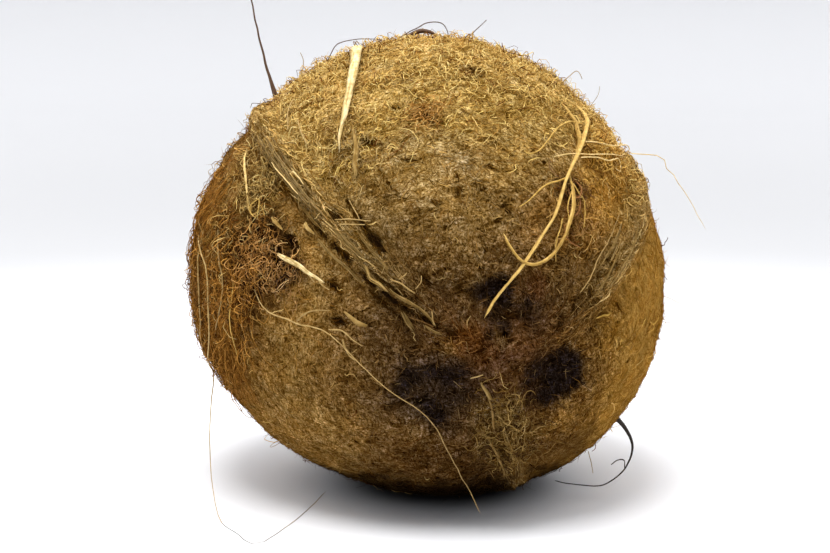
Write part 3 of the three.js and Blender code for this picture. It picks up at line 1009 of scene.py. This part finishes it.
EYE_HAIRS = 2900
EYE_STEPS = 3
WORN_BROWN = screen_colour(110, 82, 48)
WORN_PALE = screen_colour(160, 130, 84)
eye_hair = straight_fibre(EYE_STEPS)
roots = scattered(EYE_HAIRS, lambda out: 1 - smooth_step(degrees_along(out), 22, 38))
count = len(roots)
length = dice.uniform(1.0, 2.8, count)
bends = dice.normal(0, 0.5, (count, EYE_STEPS))
ways = wander(roots, any_way(roots), length, bends)
share = np.linspace(0, 1, EYE_STEPS + 1)
stand = dice.exponential(0.5, count).clip(0.1, 1.6)[:, None]
lifts = -0.25 + (0.25 + stand) * share
widths = tapered(share, count, 0.13, 0.26)
dye = partly_dyed(toned(roots, middle=1.05, spread=1.0), 0.35, 0.4, WORN_BROWN)
dye = partly_dyed(dye, 0.08, 0.6, WORN_PALE)
bent_copies("eye_fuzz", eye_hair, risen(ways, lifts), widths, dye, felt_fibre_finish, flatness=0.9)


# ---- Split strips and splinters --------------------------------------------------------------
# Broad pale strips of coir have peeled from the crown and along the seams. Each is a flat ribbon
# of several fibres that is still fixed at one end.

CHALK = screen_colour(230, 205, 150)
STRAW = screen_colour(222, 190, 124)
PALE = screen_colour(176, 145, 88)
BARK = screen_colour(140, 113, 66)
CREST = screen_colour(140, 115, 72)
TAN = screen_colour(158, 128, 74)
GOLD = screen_colour(190, 152, 74)
STRAND = screen_colour(200, 163, 88)
RUST = screen_colour(140, 92, 44)
SOOT = screen_colour(48, 40, 32)
SEPIA = screen_colour(92, 68, 50)
UMBER = screen_colour(132, 104, 60)


STRIP_WAVER = 0.14


def spline(knots):
    """Steps along a smooth curve through knots, 16 between each two."""
    ends = np.concatenate([[2 * knots[0] - knots[1]], knots, [2 * knots[-1] - knots[-2]]])
    share = np.linspace(0, 1, 16, endpoint=False)[:, None]
    parts = []
    for a, b, c, d in zip(ends, ends[1:], ends[2:], ends[3:]):
        squared = (2 * a - 5 * b + 4 * c - d) * share**2
        cubed = (3 * b - a - 3 * c + d) * share**3
        parts.append(0.5 * (2 * b + (c - a) * share + squared + cubed))
    return np.concatenate(parts + [knots[-1:]])


def strand_path(route, stops):
    """A path in the nut's millimetres through places given as along, round and lift."""
    route = np.array(route, float)
    line = spline(np.column_stack([place(route[:, 0], route[:, 1]), route[:, 2]]))
    out = unit(line[:, :3])
    points = out * (nut_radius(out, 0.0) + line[:, 3])[:, None]
    reach = np.concatenate([[0], np.cumsum(np.linalg.norm(np.diff(points, axis=0), axis=1))])
    even = np.linspace(0, reach[-1], stops + 1)
    points = np.stack([np.interp(even, reach, points[:, part]) for part in range(3)], 1)
    wobble = np.stack([blotches(points, 2.2, seed) for seed in (51, 52, 53)], 1)
    return points + STRIP_WAVER * wobble


def strands(name, rows, plies, spread, stops, sides, flatness, material):
    """One piece of strands, each split in plies that lie a spread of its width apart.

    A row is a strand's colour, its widths in even steps along it, and the places on its route.
    """
    shares = np.linspace(0, 1, stops + 1)
    paths, widths, dye = [], [], []
    for colour, width, route in rows:
        path = strand_path(route, stops)
        width = np.interp(shares, np.linspace(0, 1, len(width)), width)
        across, up = (ways[0] for ways in sides_of(path[None]))
        for ply in range(plies):
            turn = (2 * np.pi * ply / plies + 2.6 * blotches(path, 6, 60 + ply))[:, None]
            offset = np.cos(turn) * across + flatness * np.sin(turn) * up
            split = path + (spread * width[:, None] * offset if plies > 1 else 0)
            short = 0.7 * spread * dice.random(2) ** 2
            reach = np.linspace(short[0], 1 - short[1], stops + 1) if plies > 1 else shares
            ply_path = [np.interp(reach, shares, split[:, part]) for part in range(3)]
            paths.append(np.stack(ply_path, 1))
            thick = 1 if plies == 1 else (1 - 1.2 * spread) * dice.uniform(0.65, 1.15)
            widths.append(np.maximum(width * thick, 0.12))
            dye.append(colour if plies == 1 else colour * by_tone(dice.uniform(0.65, 1.15)))
    template = straight_fibre(stops, sides)
    flat = flatness if plies == 1 else min(1, 1.6 * flatness)
    paths, widths, dye = np.stack(paths), np.stack(widths), np.stack(dye)
    bent_copies(name, template, paths, widths, dye, material, flat)


strip_finish = fibre_material(
    "strip_coir", roughness=0.8, specular=0.05, scale=700, detail=3, darkest=0.3, spread=1.3
)
strands("peeled_strips", (
    (CHALK, (2.6, 2.7, 2.3, 2.1, 1.9, 1.6, 1.3, 0.9, 0.4),
     ((106, -31.5, 0.4), (90.3, -28.7, 2.0), (80, -25.8, 2.2), (72.7, -22.5, 2.2), (67.5, -19.5, 2.1),
      (63.5, -16.3, 2.0), (58, -12.5, 1.9))),
    (TAN, (0.4, 0.5, 0.8, 1.2, 1.0, 0.6),
     ((66, -20, 0.2), (60.5, -18.5, 1.0), (57.2, -17.2, 1.3), (53.5, -14.7, 1.2), (50.8, -12.7, 0.9))),
    (CHALK, (0.6, 1.0, 0.95, 0.8, 0.55, 0.35),
     ((54.2, 18.6, 0.5), (49.5, 17.5, 1.6), (46.5, 17, 1.8), (44, 17, 1.7), (41.5, 17, 1.5),
      (39.2, 16.8, 1.6))),
    (PALE, (0.4, 0.8, 0.7, 0.3), ((61.4, 12, 0.5), (58.4, 12, 1.2), (55.6, 12, 1.1))),
    (TAN, (0.3, 0.8, 0.9, 0.4), ((32.8, 22.7, 0.2), (30.7, 23.3, 1.0), (28.9, 24, 1.2), (26.8, 23.5, 0.8))),
    (GOLD, (0.3, 0.5, 0.5, 0.2),
     ((25.2, -120, 0.5), (26.9, -120.5, 1.0), (28, -121.5, 1.1), (29.5, -121.2, 0.8))),
    (STRAW, (0.6, 0.8, 0.7, 0.5, 0.3),
     ((91, 6.5, 0.3), (83.3, 8, 1.6), (77.5, 9.5, 1.8), (72.5, 12, 1.7), (69, 15, 1.2))),
    (PALE, (0.9, 1.0, 0.8, 0.3), ((52.8, 7.1, 0.3), (50.4, 7, 1.2), (47.9, 6.8, 0.9))),
    (BARK, (0.3, 0.6, 0.8, 0.5), ((3.2, 85, 0.8), (4.1, 110.7, 1.1), (5.2, 125.5, 1.1), (6.1, 132.8, 0.9))),
    (UMBER, (0.3, 0.5, 0.5, 0.3),
     ((5.7, 126.5, 0.5), (8.4, 134, 0.9), (12.4, 136.3, 0.9), (15.2, 139, 0.6))),
    (UMBER, (0.2, 0.4, 0.5, 0.5, 0.4, 0.3),
     ((15.9, 131.5, 0.6), (18.5, 136.8, 1.1), (20.7, 139.5, 1.3), (27.4, 143.5, 1.3), (31.5, 144.5, 1.0))),
), plies=8, spread=0.3, stops=24, sides=4, flatness=0.4, material=strip_finish)

strands("seam_splinters", (
    (CREST, (0.3, 0.6, 0.7, 0.5, 0.3), ((98, 2.8, 0.2), (80, 2.6, 0.5), (66, 2.6, 0.7), (54.5, 2.9, 0.5))),
    (CREST, (0.3, 0.7, 0.7, 0.6, 0.3), ((94, 1.3, 0.2), (76, 1.4, 0.6), (63, 1.5, 0.8), (51, 2.1, 0.6))),
    (CREST, (0.3, 0.7, 0.7, 0.6, 0.3), ((90, 0, 0.2), (75, 0, 0.6), (60, 0.5, 0.8), (47, 0.9, 0.6))),
    (CREST, (0.3, 0.6, 0.6, 0.3), ((82, -1.3, 0.2), (65, -1, 0.5), (52, -0.8, 0.5))),
    (BARK, (0.2, 0.4, 0.5, 0.3), ((60, 3.9, 0.2), (52, 4.2, 0.6), (45, 4.6, 0.5))),
    (BARK, (0.4, 0.7, 0.7, 0.3), ((46, 1.5, 0.4), (42, 1.5, 1.1), (36.2, 2.3, 1.1), (32, 5.3, 0.8))),
    (BARK, (0.3, 0.5, 0.5, 0.3), ((43, 0.8, 0.4), (38, 0.5, 1.0), (33, 1.4, 0.9))),
    (BARK, (0.3, 0.5, 0.5, 0.3), ((40, -3.2, 0.4), (34, -2.8, 0.9), (29, -2.2, 0.8))),
    (BARK, (0.4, 0.6, 0.7, 0.6, 0.5, 0.3),
     ((47.5, 7.3, 0.3), (44.9, 7.5, 1.1), (39.2, 8, 1.2), (34.2, 9, 1.2), (30.6, 9.2, 0.9))),
    (PALE, (0.4, 0.5, 0.6, 0.6, 0.3),
     ((34.5, 2.5, 0.5), (32.7, 3.7, 1.2), (31.2, 5.3, 1.4), (28.7, 4.5, 1.4), (26.6, 4.8, 1.0))),
    (BARK, (0.4, 0.5, 0.5, 0.5, 0.4, 0.3),
     ((28, 2.8, 0.6), (25.7, 3.3, 1.3), (21.5, 1.2, 1.4), (19.4, -0.5, 1.2), (17, 0.3, 1.1),
      (15, 2.5, 0.8))),
    (BARK, (0.3, 0.5, 0.5, 0.3), ((24.4, 2.5, 0.8), (22.5, 1.5, 1.4), (20.9, 0.8, 1.4), (19.5, -0.6, 1.0))),
    (BARK, (0.4, 0.8, 0.7, 0.3), ((22, 8.4, 0.4), (20.4, 10.5, 1.0), (19, 12.3, 1.0), (17.8, 14.6, 0.6))),
    (BARK, (0.2, 0.4, 0.4, 0.2), ((16.9, 6.8, 0.5), (14.7, 5.7, 0.9), (13, 3.3, 0.7))),
    (BARK, (0.3, 0.5, 0.5, 0.3), ((52, -106, 0.4), (43, -107.5, 0.9), (36, -109, 0.9), (29, -110, 0.6))),
    (BARK, (0.3, 0.5, 0.5, 0.3), ((46, -102.6, 0.4), (38, -102.5, 0.9), (31, -102.6, 0.8))),
    (BARK, (0.3, 0.5, 0.5, 0.3), ((40, -105.2, 0.4), (32, -106.2, 0.9), (24, -107.5, 0.8))),
    (BARK, (0.2, 0.6, 0.7, 0.3), ((8, 140, 0.4), (16, 146, 0.9), (24, 148, 0.8))),
), plies=7, spread=0.5, stops=18, sides=4, flatness=0.6, material=strip_finish)


# ---- Golden strands --------------------------------------------------------------------------
# Beside the right-hand seam one long stout strand has come loose and forked. It springs down
# over the top eye, with thin rootlets and wiry side fibres still on it.

strand_finish = fibre_material("strand_coir", roughness=0.65, specular=0.2)
strands("golden_strands", (
    (STRAND, (0.5, 0.8, 0.95, 0.95, 0.85, 0.75, 0.7, 0.65, 0.65, 0.75),
     ((74, -82, 0), (66, -83, 1.4), (55, -80, 1.8), (43, -76, 2), (33, -73.5, 2), (24, -66, 2.2),
      (18, -57, 2.6), (14.6, -48.5, 2.8), (11.4, -36, 2.9))),
    (STRAND, (0.6, 0.8, 0.85, 0.5), ((70, -77, 0), (63, -78.5, 1.3), (56.5, -79.6, 1.3), (51, -79, 0.6))),
    (STRAND, (0.5, 0.8, 0.85, 0.8, 0.7, 0.6, 0.5),
     ((46, -77.5, 0.8), (38, -80, 2), (28, -79, 2.2), (23, -71, 2.4), (23, -61, 2.4), (28, -53, 2.2))),
), plies=3, spread=0.22, stops=34, sides=5, flatness=0.9, material=strand_finish)

strands("golden_rootlets", (
    (GOLD, (0.4, 0.4, 0.35, 0.3, 0.25),
     ((62, -80.5, 1.2), (60.5, -77.2, 1.8), (57.5, -74, 2), (54, -71.2, 1.8), (50.7, -69.2, 1.6),
      (48.2, -67.2, 1.6), (46.5, -64.7, 1.6), (46.4, -62.5, 1.5), (47.6, -61.8, 1.8))),
    (GOLD, (0.4, 0.4, 0.35, 0.2),
     ((44, -77, 1.8), (41.7, -73.5, 1.8), (40.2, -70.2, 1.6), (38.4, -67.5, 1.7), (36.9, -65.8, 1.5),
      (34.9, -63, 1.6), (33.4, -60, 1.2))),
    (GOLD, (0.4, 0.35, 0.3, 0.2),
     ((43, -77.5, 1.8), (41.7, -78.8, 1.7), (37.5, -78.5, 1.4), (34.5, -80.2, 1.5), (32.2, -80.5, 1.2),
      (30.4, -83.2, 1.4))),
    (GOLD, (0.35, 0.35, 0.3, 0.2),
     ((43, -79, 1.5), (41.4, -81.5, 1.6), (40.7, -84, 1.5), (38.4, -86, 1.4), (35, -87.8, 1.2))),
    (RUST, (0.3, 0.3, 0.2), ((33, -79, 1.6), (31.4, -80.8, 1.5), (30.5, -84.5, 1.4), (31, -89.5, 1.0))),
    (GOLD, (0.35, 0.3, 0.2),
     ((34, -77.5, 1.8), (32.9, -77.8, 1.5), (29.9, -78.2, 1.2), (27.2, -79, 1.4), (25.2, -81.5, 1.0))),
    (STRAW, (0.35, 0.35, 0.3, 0.25, 0.2, 0.12),
     ((56, -81, 1.8), (58.7, -85.5, 2), (63.4, -92, 2.2), (74.2, -100, 2.2), (80.4, -106, 2.5),
      (79.7, -109, 6), (78.5, -112, 6.9), (77.6, -114, 8.7), (75.2, -120, 9.7), (72.7, -126, 11))),
    (STRAW, (0.25, 0.3, 0.25, 0.15),
     ((47.5, -71.5, 1.2), (50, -77, 2), (52.4, -82, 2), (57, -88.5, 1.8), (64.5, -96, 1.5),
      (70, -99, 1.3))),
    (STRAW, (0.3, 0.3, 0.25, 0.15),
     ((50.2, -79.8, 2), (53.5, -85, 1.8), (55.4, -89.5, 2.2), (59.9, -93.8, 2), (57.5, -95.5, 1.6),
      (55.5, -92.5, 1.8))),
    (RUST, (0.3, 0.4, 0.3, 0.2),
     ((45, -79.5, 0.6), (43, -81.8, 1.6), (40.5, -81.5, 2), (39.8, -79, 1.4), (42, -78, 0.8))),
    (RUST, (0.3, 0.35, 0.3, 0.2),
     ((37, -79, 0.8), (36, -81.5, 1.6), (38, -83.2, 1.8), (40.5, -82.6, 1.2), (41, -80.5, 0.8))),
), plies=1, spread=0, stops=28, sides=4, flatness=0.9, material=strand_finish)


# ---- Loose threads ---------------------------------------------------------------------------
# Single long fibres hang and curl off the nut: one runs round the front under the eyes, one
# hangs down the left flank to the floor, and dark wiry bristles spring from the crown and right.

strands("loose_threads", (
    (PALE, (0.34, 0.36, 0.32, 0.28, 0.25, 0.23, 0.22, 0.21, 0.2, 0.2, 0.16),
     ((58, 31.5, 0.2), (53.7, 33.5, 1.2), (50.9, 34.3, 1.3), (46.2, 34, 1.3), (41.9, 33.8, 1.3),
      (37.2, 32.5, 1.4), (34.2, 33, 1.4), (30.4, 36.3, 1.6), (25.9, 43.5, 1.8), (21.7, 52.3, 2),
      (19.2, 61.3, 2), (16.9, 77.5, 2), (17.2, 95.5, 2.2), (20, 108, 2.2), (24.3, 119, 2.4),
      (28, 124.5, 2.9), (29.8, 128, 4.6), (31, 130, 7), (31.4, 131.6, 10.2))),
    (PALE, (0.4, 0.45, 0.4, 0.35),
     ((30.4, 36.3, 1.5), (31.2, 33, 1.4), (29.8, 38.5, 1.2), (28, 41.5, 0.9))),
    (PALE, (0.35, 0.45, 0.45, 0.4, 0.3, 0.24, 0.22, 0.2, 0.2, 0.2, 0.18),
     ((92, 31, 0.3), (84, 31.3, 1.6), (77.5, 33.8, 1.6), (75, 39.2, 1.5), (74.5, 46.5, 1.5),
      (78, 54.8, 1.5), (83.5, 61.5, 1.4), (86.8, 65.6, 1.2), (83.6, 68.2, 3.7), (79.5, 71.1, 7.3),
      (75.9, 73.4, 10.7), (71.9, 75.1, 14.1), (69.1, 76.7, 17), (66.3, 78.4, 19.8),
      (63.8, 79.7, 22.4), (60.8, 80.5, 24.5), (57.5, 80.3, 25.5), (54.5, 80.4, 26.2),
      (50.4, 79.9, 28.3), (48.7, 80.8, 28.3), (48.9, 82.6, 26.0), (52.8, 87.8, 18.6),
      (56.6, 92, 13.8), (64, 97.7, 8.6), (72.1, 102.8, 5.4))),
    (TAN, (0.4, 0.5, 0.4, 0.3),
     ((80, 25, 0.4), (71.8, 30, 1.3), (68.3, 36, 1.3), (69.5, 43.3, 1.2), (74, 50, 0.8))),
    (TAN, (0.4, 0.5, 0.4, 0.3),
     ((88, 29, 0.4), (83, 37, 1.4), (81.5, 46, 1.3), (84.5, 56, 1.2), (90, 63, 0.8))),
    (GOLD, (0.3, 0.4, 0.3, 0.2), ((66, 33, 0.4), (63.8, 43.8, 1.2), (63.2, 52, 1.0))),
    (TAN, (0.3, 0.35, 0.3, 0.2),
     ((43.2, 33.5, 0.8), (41.4, 29.8, 1.3), (39.4, 27.3, 1.3), (35.7, 24.2, 1.2))),
    (PALE, (0.25, 0.35, 0.3, 0.2),
     ((35, 31.8, 0.6), (32.4, 30, 1.1), (30.9, 30.2, 1.1), (29, 31.8, 1.1), (27, 34, 0.7))),
    (STRAW, (0.22, 0.28, 0.28, 0.2),
     ((72.2, 2.2, 0.8), (67.5, 2, 1.5), (62.2, 2, 1.5), (57.4, 2, 1.0))),
    (STRAW, (0.2, 0.3, 0.3, 0.25), ((63.4, 0.3, 1), (62.2, -1, 1.8), (60.2, -1, 1.9), (57.7, -0.8, 1.2))),
    (PALE, (0.25, 0.3, 0.3, 0.2), ((44, 17, 1.5), (42.9, 17.8, 1.6), (41.7, 18.9, 1.2))),
    (PALE, (0.25, 0.3, 0.25, 0.2), ((41.5, 17.1, 1.5), (39.6, 17.8, 1.5), (37.7, 18, 1.1))),
    (PALE, (0.3, 0.35, 0.2), ((4.6, 62, 1.0), (3.4, 54, 1.4), (2.2, 44, 1.4))),
    (PALE, (0.3, 0.4, 0.3), ((88.7, -10.7, 1.0), (83.3, -7.8, 1.6), (78.5, -5.3, 1.2))),
    (PALE, (0.3, 0.4, 0.3), ((78.5, -9, 1.0), (72, -8, 1.6), (67.8, -7.2, 1.2))),
    (PALE, (0.2, 0.25, 0.2), ((47.7, -7.4, 0.8), (44.9, -7.1, 1.1), (42.2, -6.4, 0.9))),
    (GOLD, (0.25, 0.28, 0.28, 0.26, 0.2),
     ((70.2, 12.6, 1), (67.2, 14.6, 1.8), (64.6, 12.6, 2.4), (66.4, 10.4, 2.4), (67.6, 13.4, 2.6),
      (64.2, 14.2, 2.4), (65.2, 11.2, 2), (62.6, 12.8, 1.2))),
    (TAN, (0.25, 0.35, 0.35, 0.25),
     ((27.9, -0.3, 0.8), (26.2, -2.2, 1.5), (24.4, -3.3, 1.6), (22.4, -4.3, 1.1))),
    (TAN, (0.25, 0.3, 0.25), ((26.7, -3.3, 1.4), (26.5, -5.5, 1.8), (26.7, -7.6, 1.3))),
    (TAN, (0.2, 0.25, 0.2), ((24.4, -11.8, 0.8), (23.4, -9.8, 1.3), (23, -5.7, 0.9))),
    (TAN, (0.25, 0.3, 0.2), ((17.7, -4, 0.8), (16.5, 0, 1.4), (15.4, 1.7, 1.0))),
    (TAN, (0.15, 0.2, 0.25, 0.33, 0.33, 0.2),
     ((46.5, -100.2, 0.6), (41.9, -99.5, 1.2), (37.5, -99.8, 1.3), (33.5, -99.5, 1.4), (28.4, -100.5, 1.4),
      (23.3, -101, 1.0))),
    (PALE, (0.25, 0.35, 0.3, 0.2),
     ((29.7, -111.2, 0.6), (28.5, -111.8, 1.1), (26.9, -111.5, 1.1), (25.8, -110.8, 0.8))),
    (PALE, (0.2, 0.3, 0.25), ((15, 163, 0.8), (16.5, 159.3, 1.2), (18.1, 154.6, 0.8))),
    (PALE, (0.2, 0.25, 0.2), ((45.5, -0.8, 1.4), (42.7, -5, 1.5), (40, -9, 1.2))),
    (PALE, (0.2, 0.25, 0.2), ((44, -0.5, 1.3), (42, -3.5, 1.5), (40.2, -6.8, 1.3))),
    (SEPIA, (1.6, 1.2, 0.8, 0.65, 0.55, 0.5, 0.46, 0.42, 0.38, 0.3),
     ((110.8, -5.5, -0.4), (110.8, -7.3, 2.6), (110.7, -9.4, 6.8), (110.6, -11.3, 11.4),
      (110.4, -13.2, 15.9), (110.2, -15, 21.0), (110.1, -15.8, 23.6))),
    (SOOT, (1.2, 1.0, 0.75, 0.55, 0.42, 0.36, 0.32, 0.3, 0.28, 0.26, 0.22),
     ((54.2, -173.0, -0.3), (55.6, -173.9, 2.2), (56.9, -175.2, 5.0), (57, -176.9, 7), (56.9, 180, 8.6),
      (56.5, 175.5, 9.3), (56.1, 171.3, 8.9), (55.5, 167.5, 6.4), (55.2, 164.3, 4.1), (54.8, 161.7, 2.2))),
    (SOOT, (0.3, 0.3, 0.25, 0.2),
     ((56.7, 178.2, 8.9), (55.4, 179.6, 7.4), (54.8, 178.4, 6.4), (54.5, 176.4, 6.3))),
    (TAN, (0.2, 0.2, 0.15), ((53.3, 174.6, 0.6), (53.6, 172.9, 3.2), (54, 171.5, 5.4))),
    (SEPIA, (0.25, 0.25, 0.22, 0.2),
     ((110.2, -22.8, -0.2), (109.9, -26.2, 2.4), (109.8, -28.6, 2.9), (109.5, -31.7, 2.6),
      (109.1, -35.1, 1.9), (108.6, -38.8, 0.8))),
    (SEPIA, (0.2, 0.25, 0.28, 0.28, 0.25, 0.2),
     ((107, -41.8, -0.2), (106.4, -45.1, 1.8), (106.1, -47.4, 2.7), (105.8, -49.3, 3.6), (105.3, -51.4, 3.9),
      (104.8, -53.3, 3.4), (104.4, -54.6, 2.0), (104.2, -55, 0.4))),
    (SEPIA, (0.6, 1.1, 1.2, 0.9, 0.5),
     ((105.8, -43.6, 0.1), (105.3, -45.6, 1.2), (104.9, -48, 1.9), (104.4, -50.4, 1.4), (104, -52.4, 0.3))),
    (SEPIA, (0.25, 0.22, 0.2), ((101.4, -58.6, 0), (101.2, -61.2, 3.1), (101, -62.8, 5.8))),
    (TAN, (0.2, 0.2, 0.15), ((110.8, -14.6, 0), (110.9, -17.5, 2.8), (111.1, -18.1, 5.2))),
    (TAN, (0.2, 0.2, 0.15), ((84.2, -80.2, 0), (84.9, -81, 2.7), (85, -82, 4.5), (84.2, -83.8, 3.9))),
    (TAN, (0.15, 0.15, 0.1), ((86.5, -91.2, 0), (87.1, -90.8, 3.9), (87.9, -89.8, 5.9))),
    (TAN, (0.15, 0.15, 0.1), ((83.5, -145, 0), (82.4, -146.1, 4.3), (81.7, -146.7, 7.6))),
), plies=1, spread=0, stops=44, sides=4, flatness=0.9, material=strand_finish)


# ---- Hanging flank hair ----------------------------------------------------------------------
# On the left flank the coir has come away in long straight hanks that run round the nut and
# hang nearly upright, over the tangled frizz.

FLANK_HAIRS = 760
FLANK_TRIES = 60
FLANK_STEPS = 9
FLANK_GOLD = screen_colour(158, 108, 44)
flank_hair = straight_fibre(FLANK_STEPS)


def flank_density(out):
    """How thick the hanging hair is, from 0 to 1, in its two patches beside the first seam."""
    return 0.9 * patch(out, 82, 40, 20, 6, 61) + 0.5 * patch(out, 96, 24, 12, 5, 62)


roots = scattered(FLANK_HAIRS, flank_density, FLANK_TRIES)
count = len(roots)
length = dice.uniform(5, 16, count)
bends = dice.normal(0, 0.24, (count, FLANK_STEPS)) + dice.normal(0, 0.05, (count, 1))
ways = wander(roots, lengthwise(roots, dice.normal(1.45, 0.3, count)), length, bends)
share = np.linspace(0, 1, FLANK_STEPS + 1)
rise = dice.exponential(0.5, count).clip(0.2, 1.5)[:, None]
lifts = -0.25 + 0.5 * smooth_step(share, 0, 0.15) + rise * np.sin(share * np.pi)
widths = tapered(share, count, 0.14, 0.34)
tone = np.exp(dice.normal(-0.1, 0.45, count)).clip(0.3, 1.3)
dye = FLANK_GOLD * by_tone(tone)
bent_copies("flank_hair", flank_hair, risen(ways, lifts), widths, dye, frizz_finish, flatness=0.8)


# ---- The pale floor, the studio light and the camera -----------------------------------------
# The nut lies on a white sheet that sweeps up behind it under wide soft lamps. Painted shade makes
# the sheet a little greyer some way from the nut, painted light makes it paler far behind, and a
# painted shadow makes it nearly black right under the nut.

SHEET_SIZE, SHEET_CUTS = 8, 80
SHEET_FLAT, SHEET_CURVE = 1.1, 0.45
bpy.ops.object.select_all(action="DESELECT")
bpy.ops.mesh.primitive_grid_add(
    x_subdivisions=SHEET_CUTS, y_subdivisions=SHEET_CUTS, size=SHEET_SIZE, location=(0, 0, 0)
)
floor = bpy.context.object
floor.name = "floor"
for vertex in floor.data.vertices:
    beyond = max(math.hypot(vertex.co.x, vertex.co.y) - SHEET_FLAT, 0)
    vertex.co.z = SHEET_CURVE * beyond**2
bpy.ops.object.shade_smooth()
floor_material, floor_wires, floor_shader = new_material(
    "white_floor", roughness=0.7, specular=0.1
)
reach = floor_wires.node("VectorMath", {0: floor_wires.spot()}, "Value", operation="LENGTH")
# Painted shade and light: greyer from 0.15 to 0.42 metres out, then paler again far off.
grey = reach.between(0.15, 0.42) - 1.25 * reach.between(0.42, 1.5)
# Painted shadow: nearly black within 14 millimetres of where the nut rests, fading out by 30.
shade = (0.9 - 0.33 * grey) * (0.05 + 0.95 * reach.between(0.014, 0.03))
white = floor_wires.node("CombineColor", {0: shade, 1: shade * 1.005, 2: shade * 1.03})
white.feeds(floor_shader, "Base Color")
floor.data.materials.append(floor_material)

world = bpy.data.worlds.new("studio")
bpy.context.scene.world = world
world.use_nodes = True
sky = world.node_tree.nodes["Background"]
sky.inputs["Color"].default_value = (0.95, 0.97, 1.0, 1)
sky.inputs["Strength"].default_value = 0.18


def soft_light(name, spot, aim, size, power):
    """A round soft lamp, its size in metres across and its power in watts."""
    lamp = bpy.data.lights.new(name, "AREA")
    lamp.shape = "DISK"
    lamp.size = size
    lamp.energy = power
    holder = bpy.data.objects.new(name, lamp)
    bpy.context.scene.collection.objects.link(holder)
    holder.location = spot
    way = Vector(aim) - Vector(spot)
    holder.rotation_euler = way.to_track_quat("-Z", "Y").to_euler()


soft_light("overhead_light", (0, 0.15, 1.1), (0, 0.1, 0), 2.3, 20)
soft_light("key_light", (-0.1, -0.3, 0.95), (0, 0, 0.05), 0.45, 7)
soft_light("left_light", (-1.1, 0.2, 0.8), (0, 0, 0.05), 1.2, 4.5)
soft_light("right_light", (1.1, 0.2, 0.8), (0, 0, 0.05), 1.2, 4.5)
soft_light("front_light", (0.25, -1.6, 0.45), (0, 0, 0.05), 0.7, 0.7)

CAMERA_ELEVATION = math.radians(9)
CAMERA_REACH = 0.459
CAMERA_DROP, CAMERA_LEFT = 0.0022, 0.0029
camera = bpy.data.objects.new("camera", bpy.data.cameras.new("camera"))
bpy.context.scene.collection.objects.link(camera)
camera.data.lens = 85
camera.data.sensor_width = 36
camera.data.clip_start = 0.01
back_way = np.array([0, -math.cos(CAMERA_ELEVATION), math.sin(CAMERA_ELEVATION)])
rise_way = np.array([0, math.sin(CAMERA_ELEVATION), math.cos(CAMERA_ELEVATION)])
aim = nut_middle - rise_way * CAMERA_DROP - [CAMERA_LEFT, 0, 0]
camera.location = aim + back_way * CAMERA_REACH
camera.rotation_euler = (math.pi / 2 - CAMERA_ELEVATION, 0, 0)
bpy.context.scene.camera = camera
bpy.context.scene.view_settings.view_transform = "Standard"
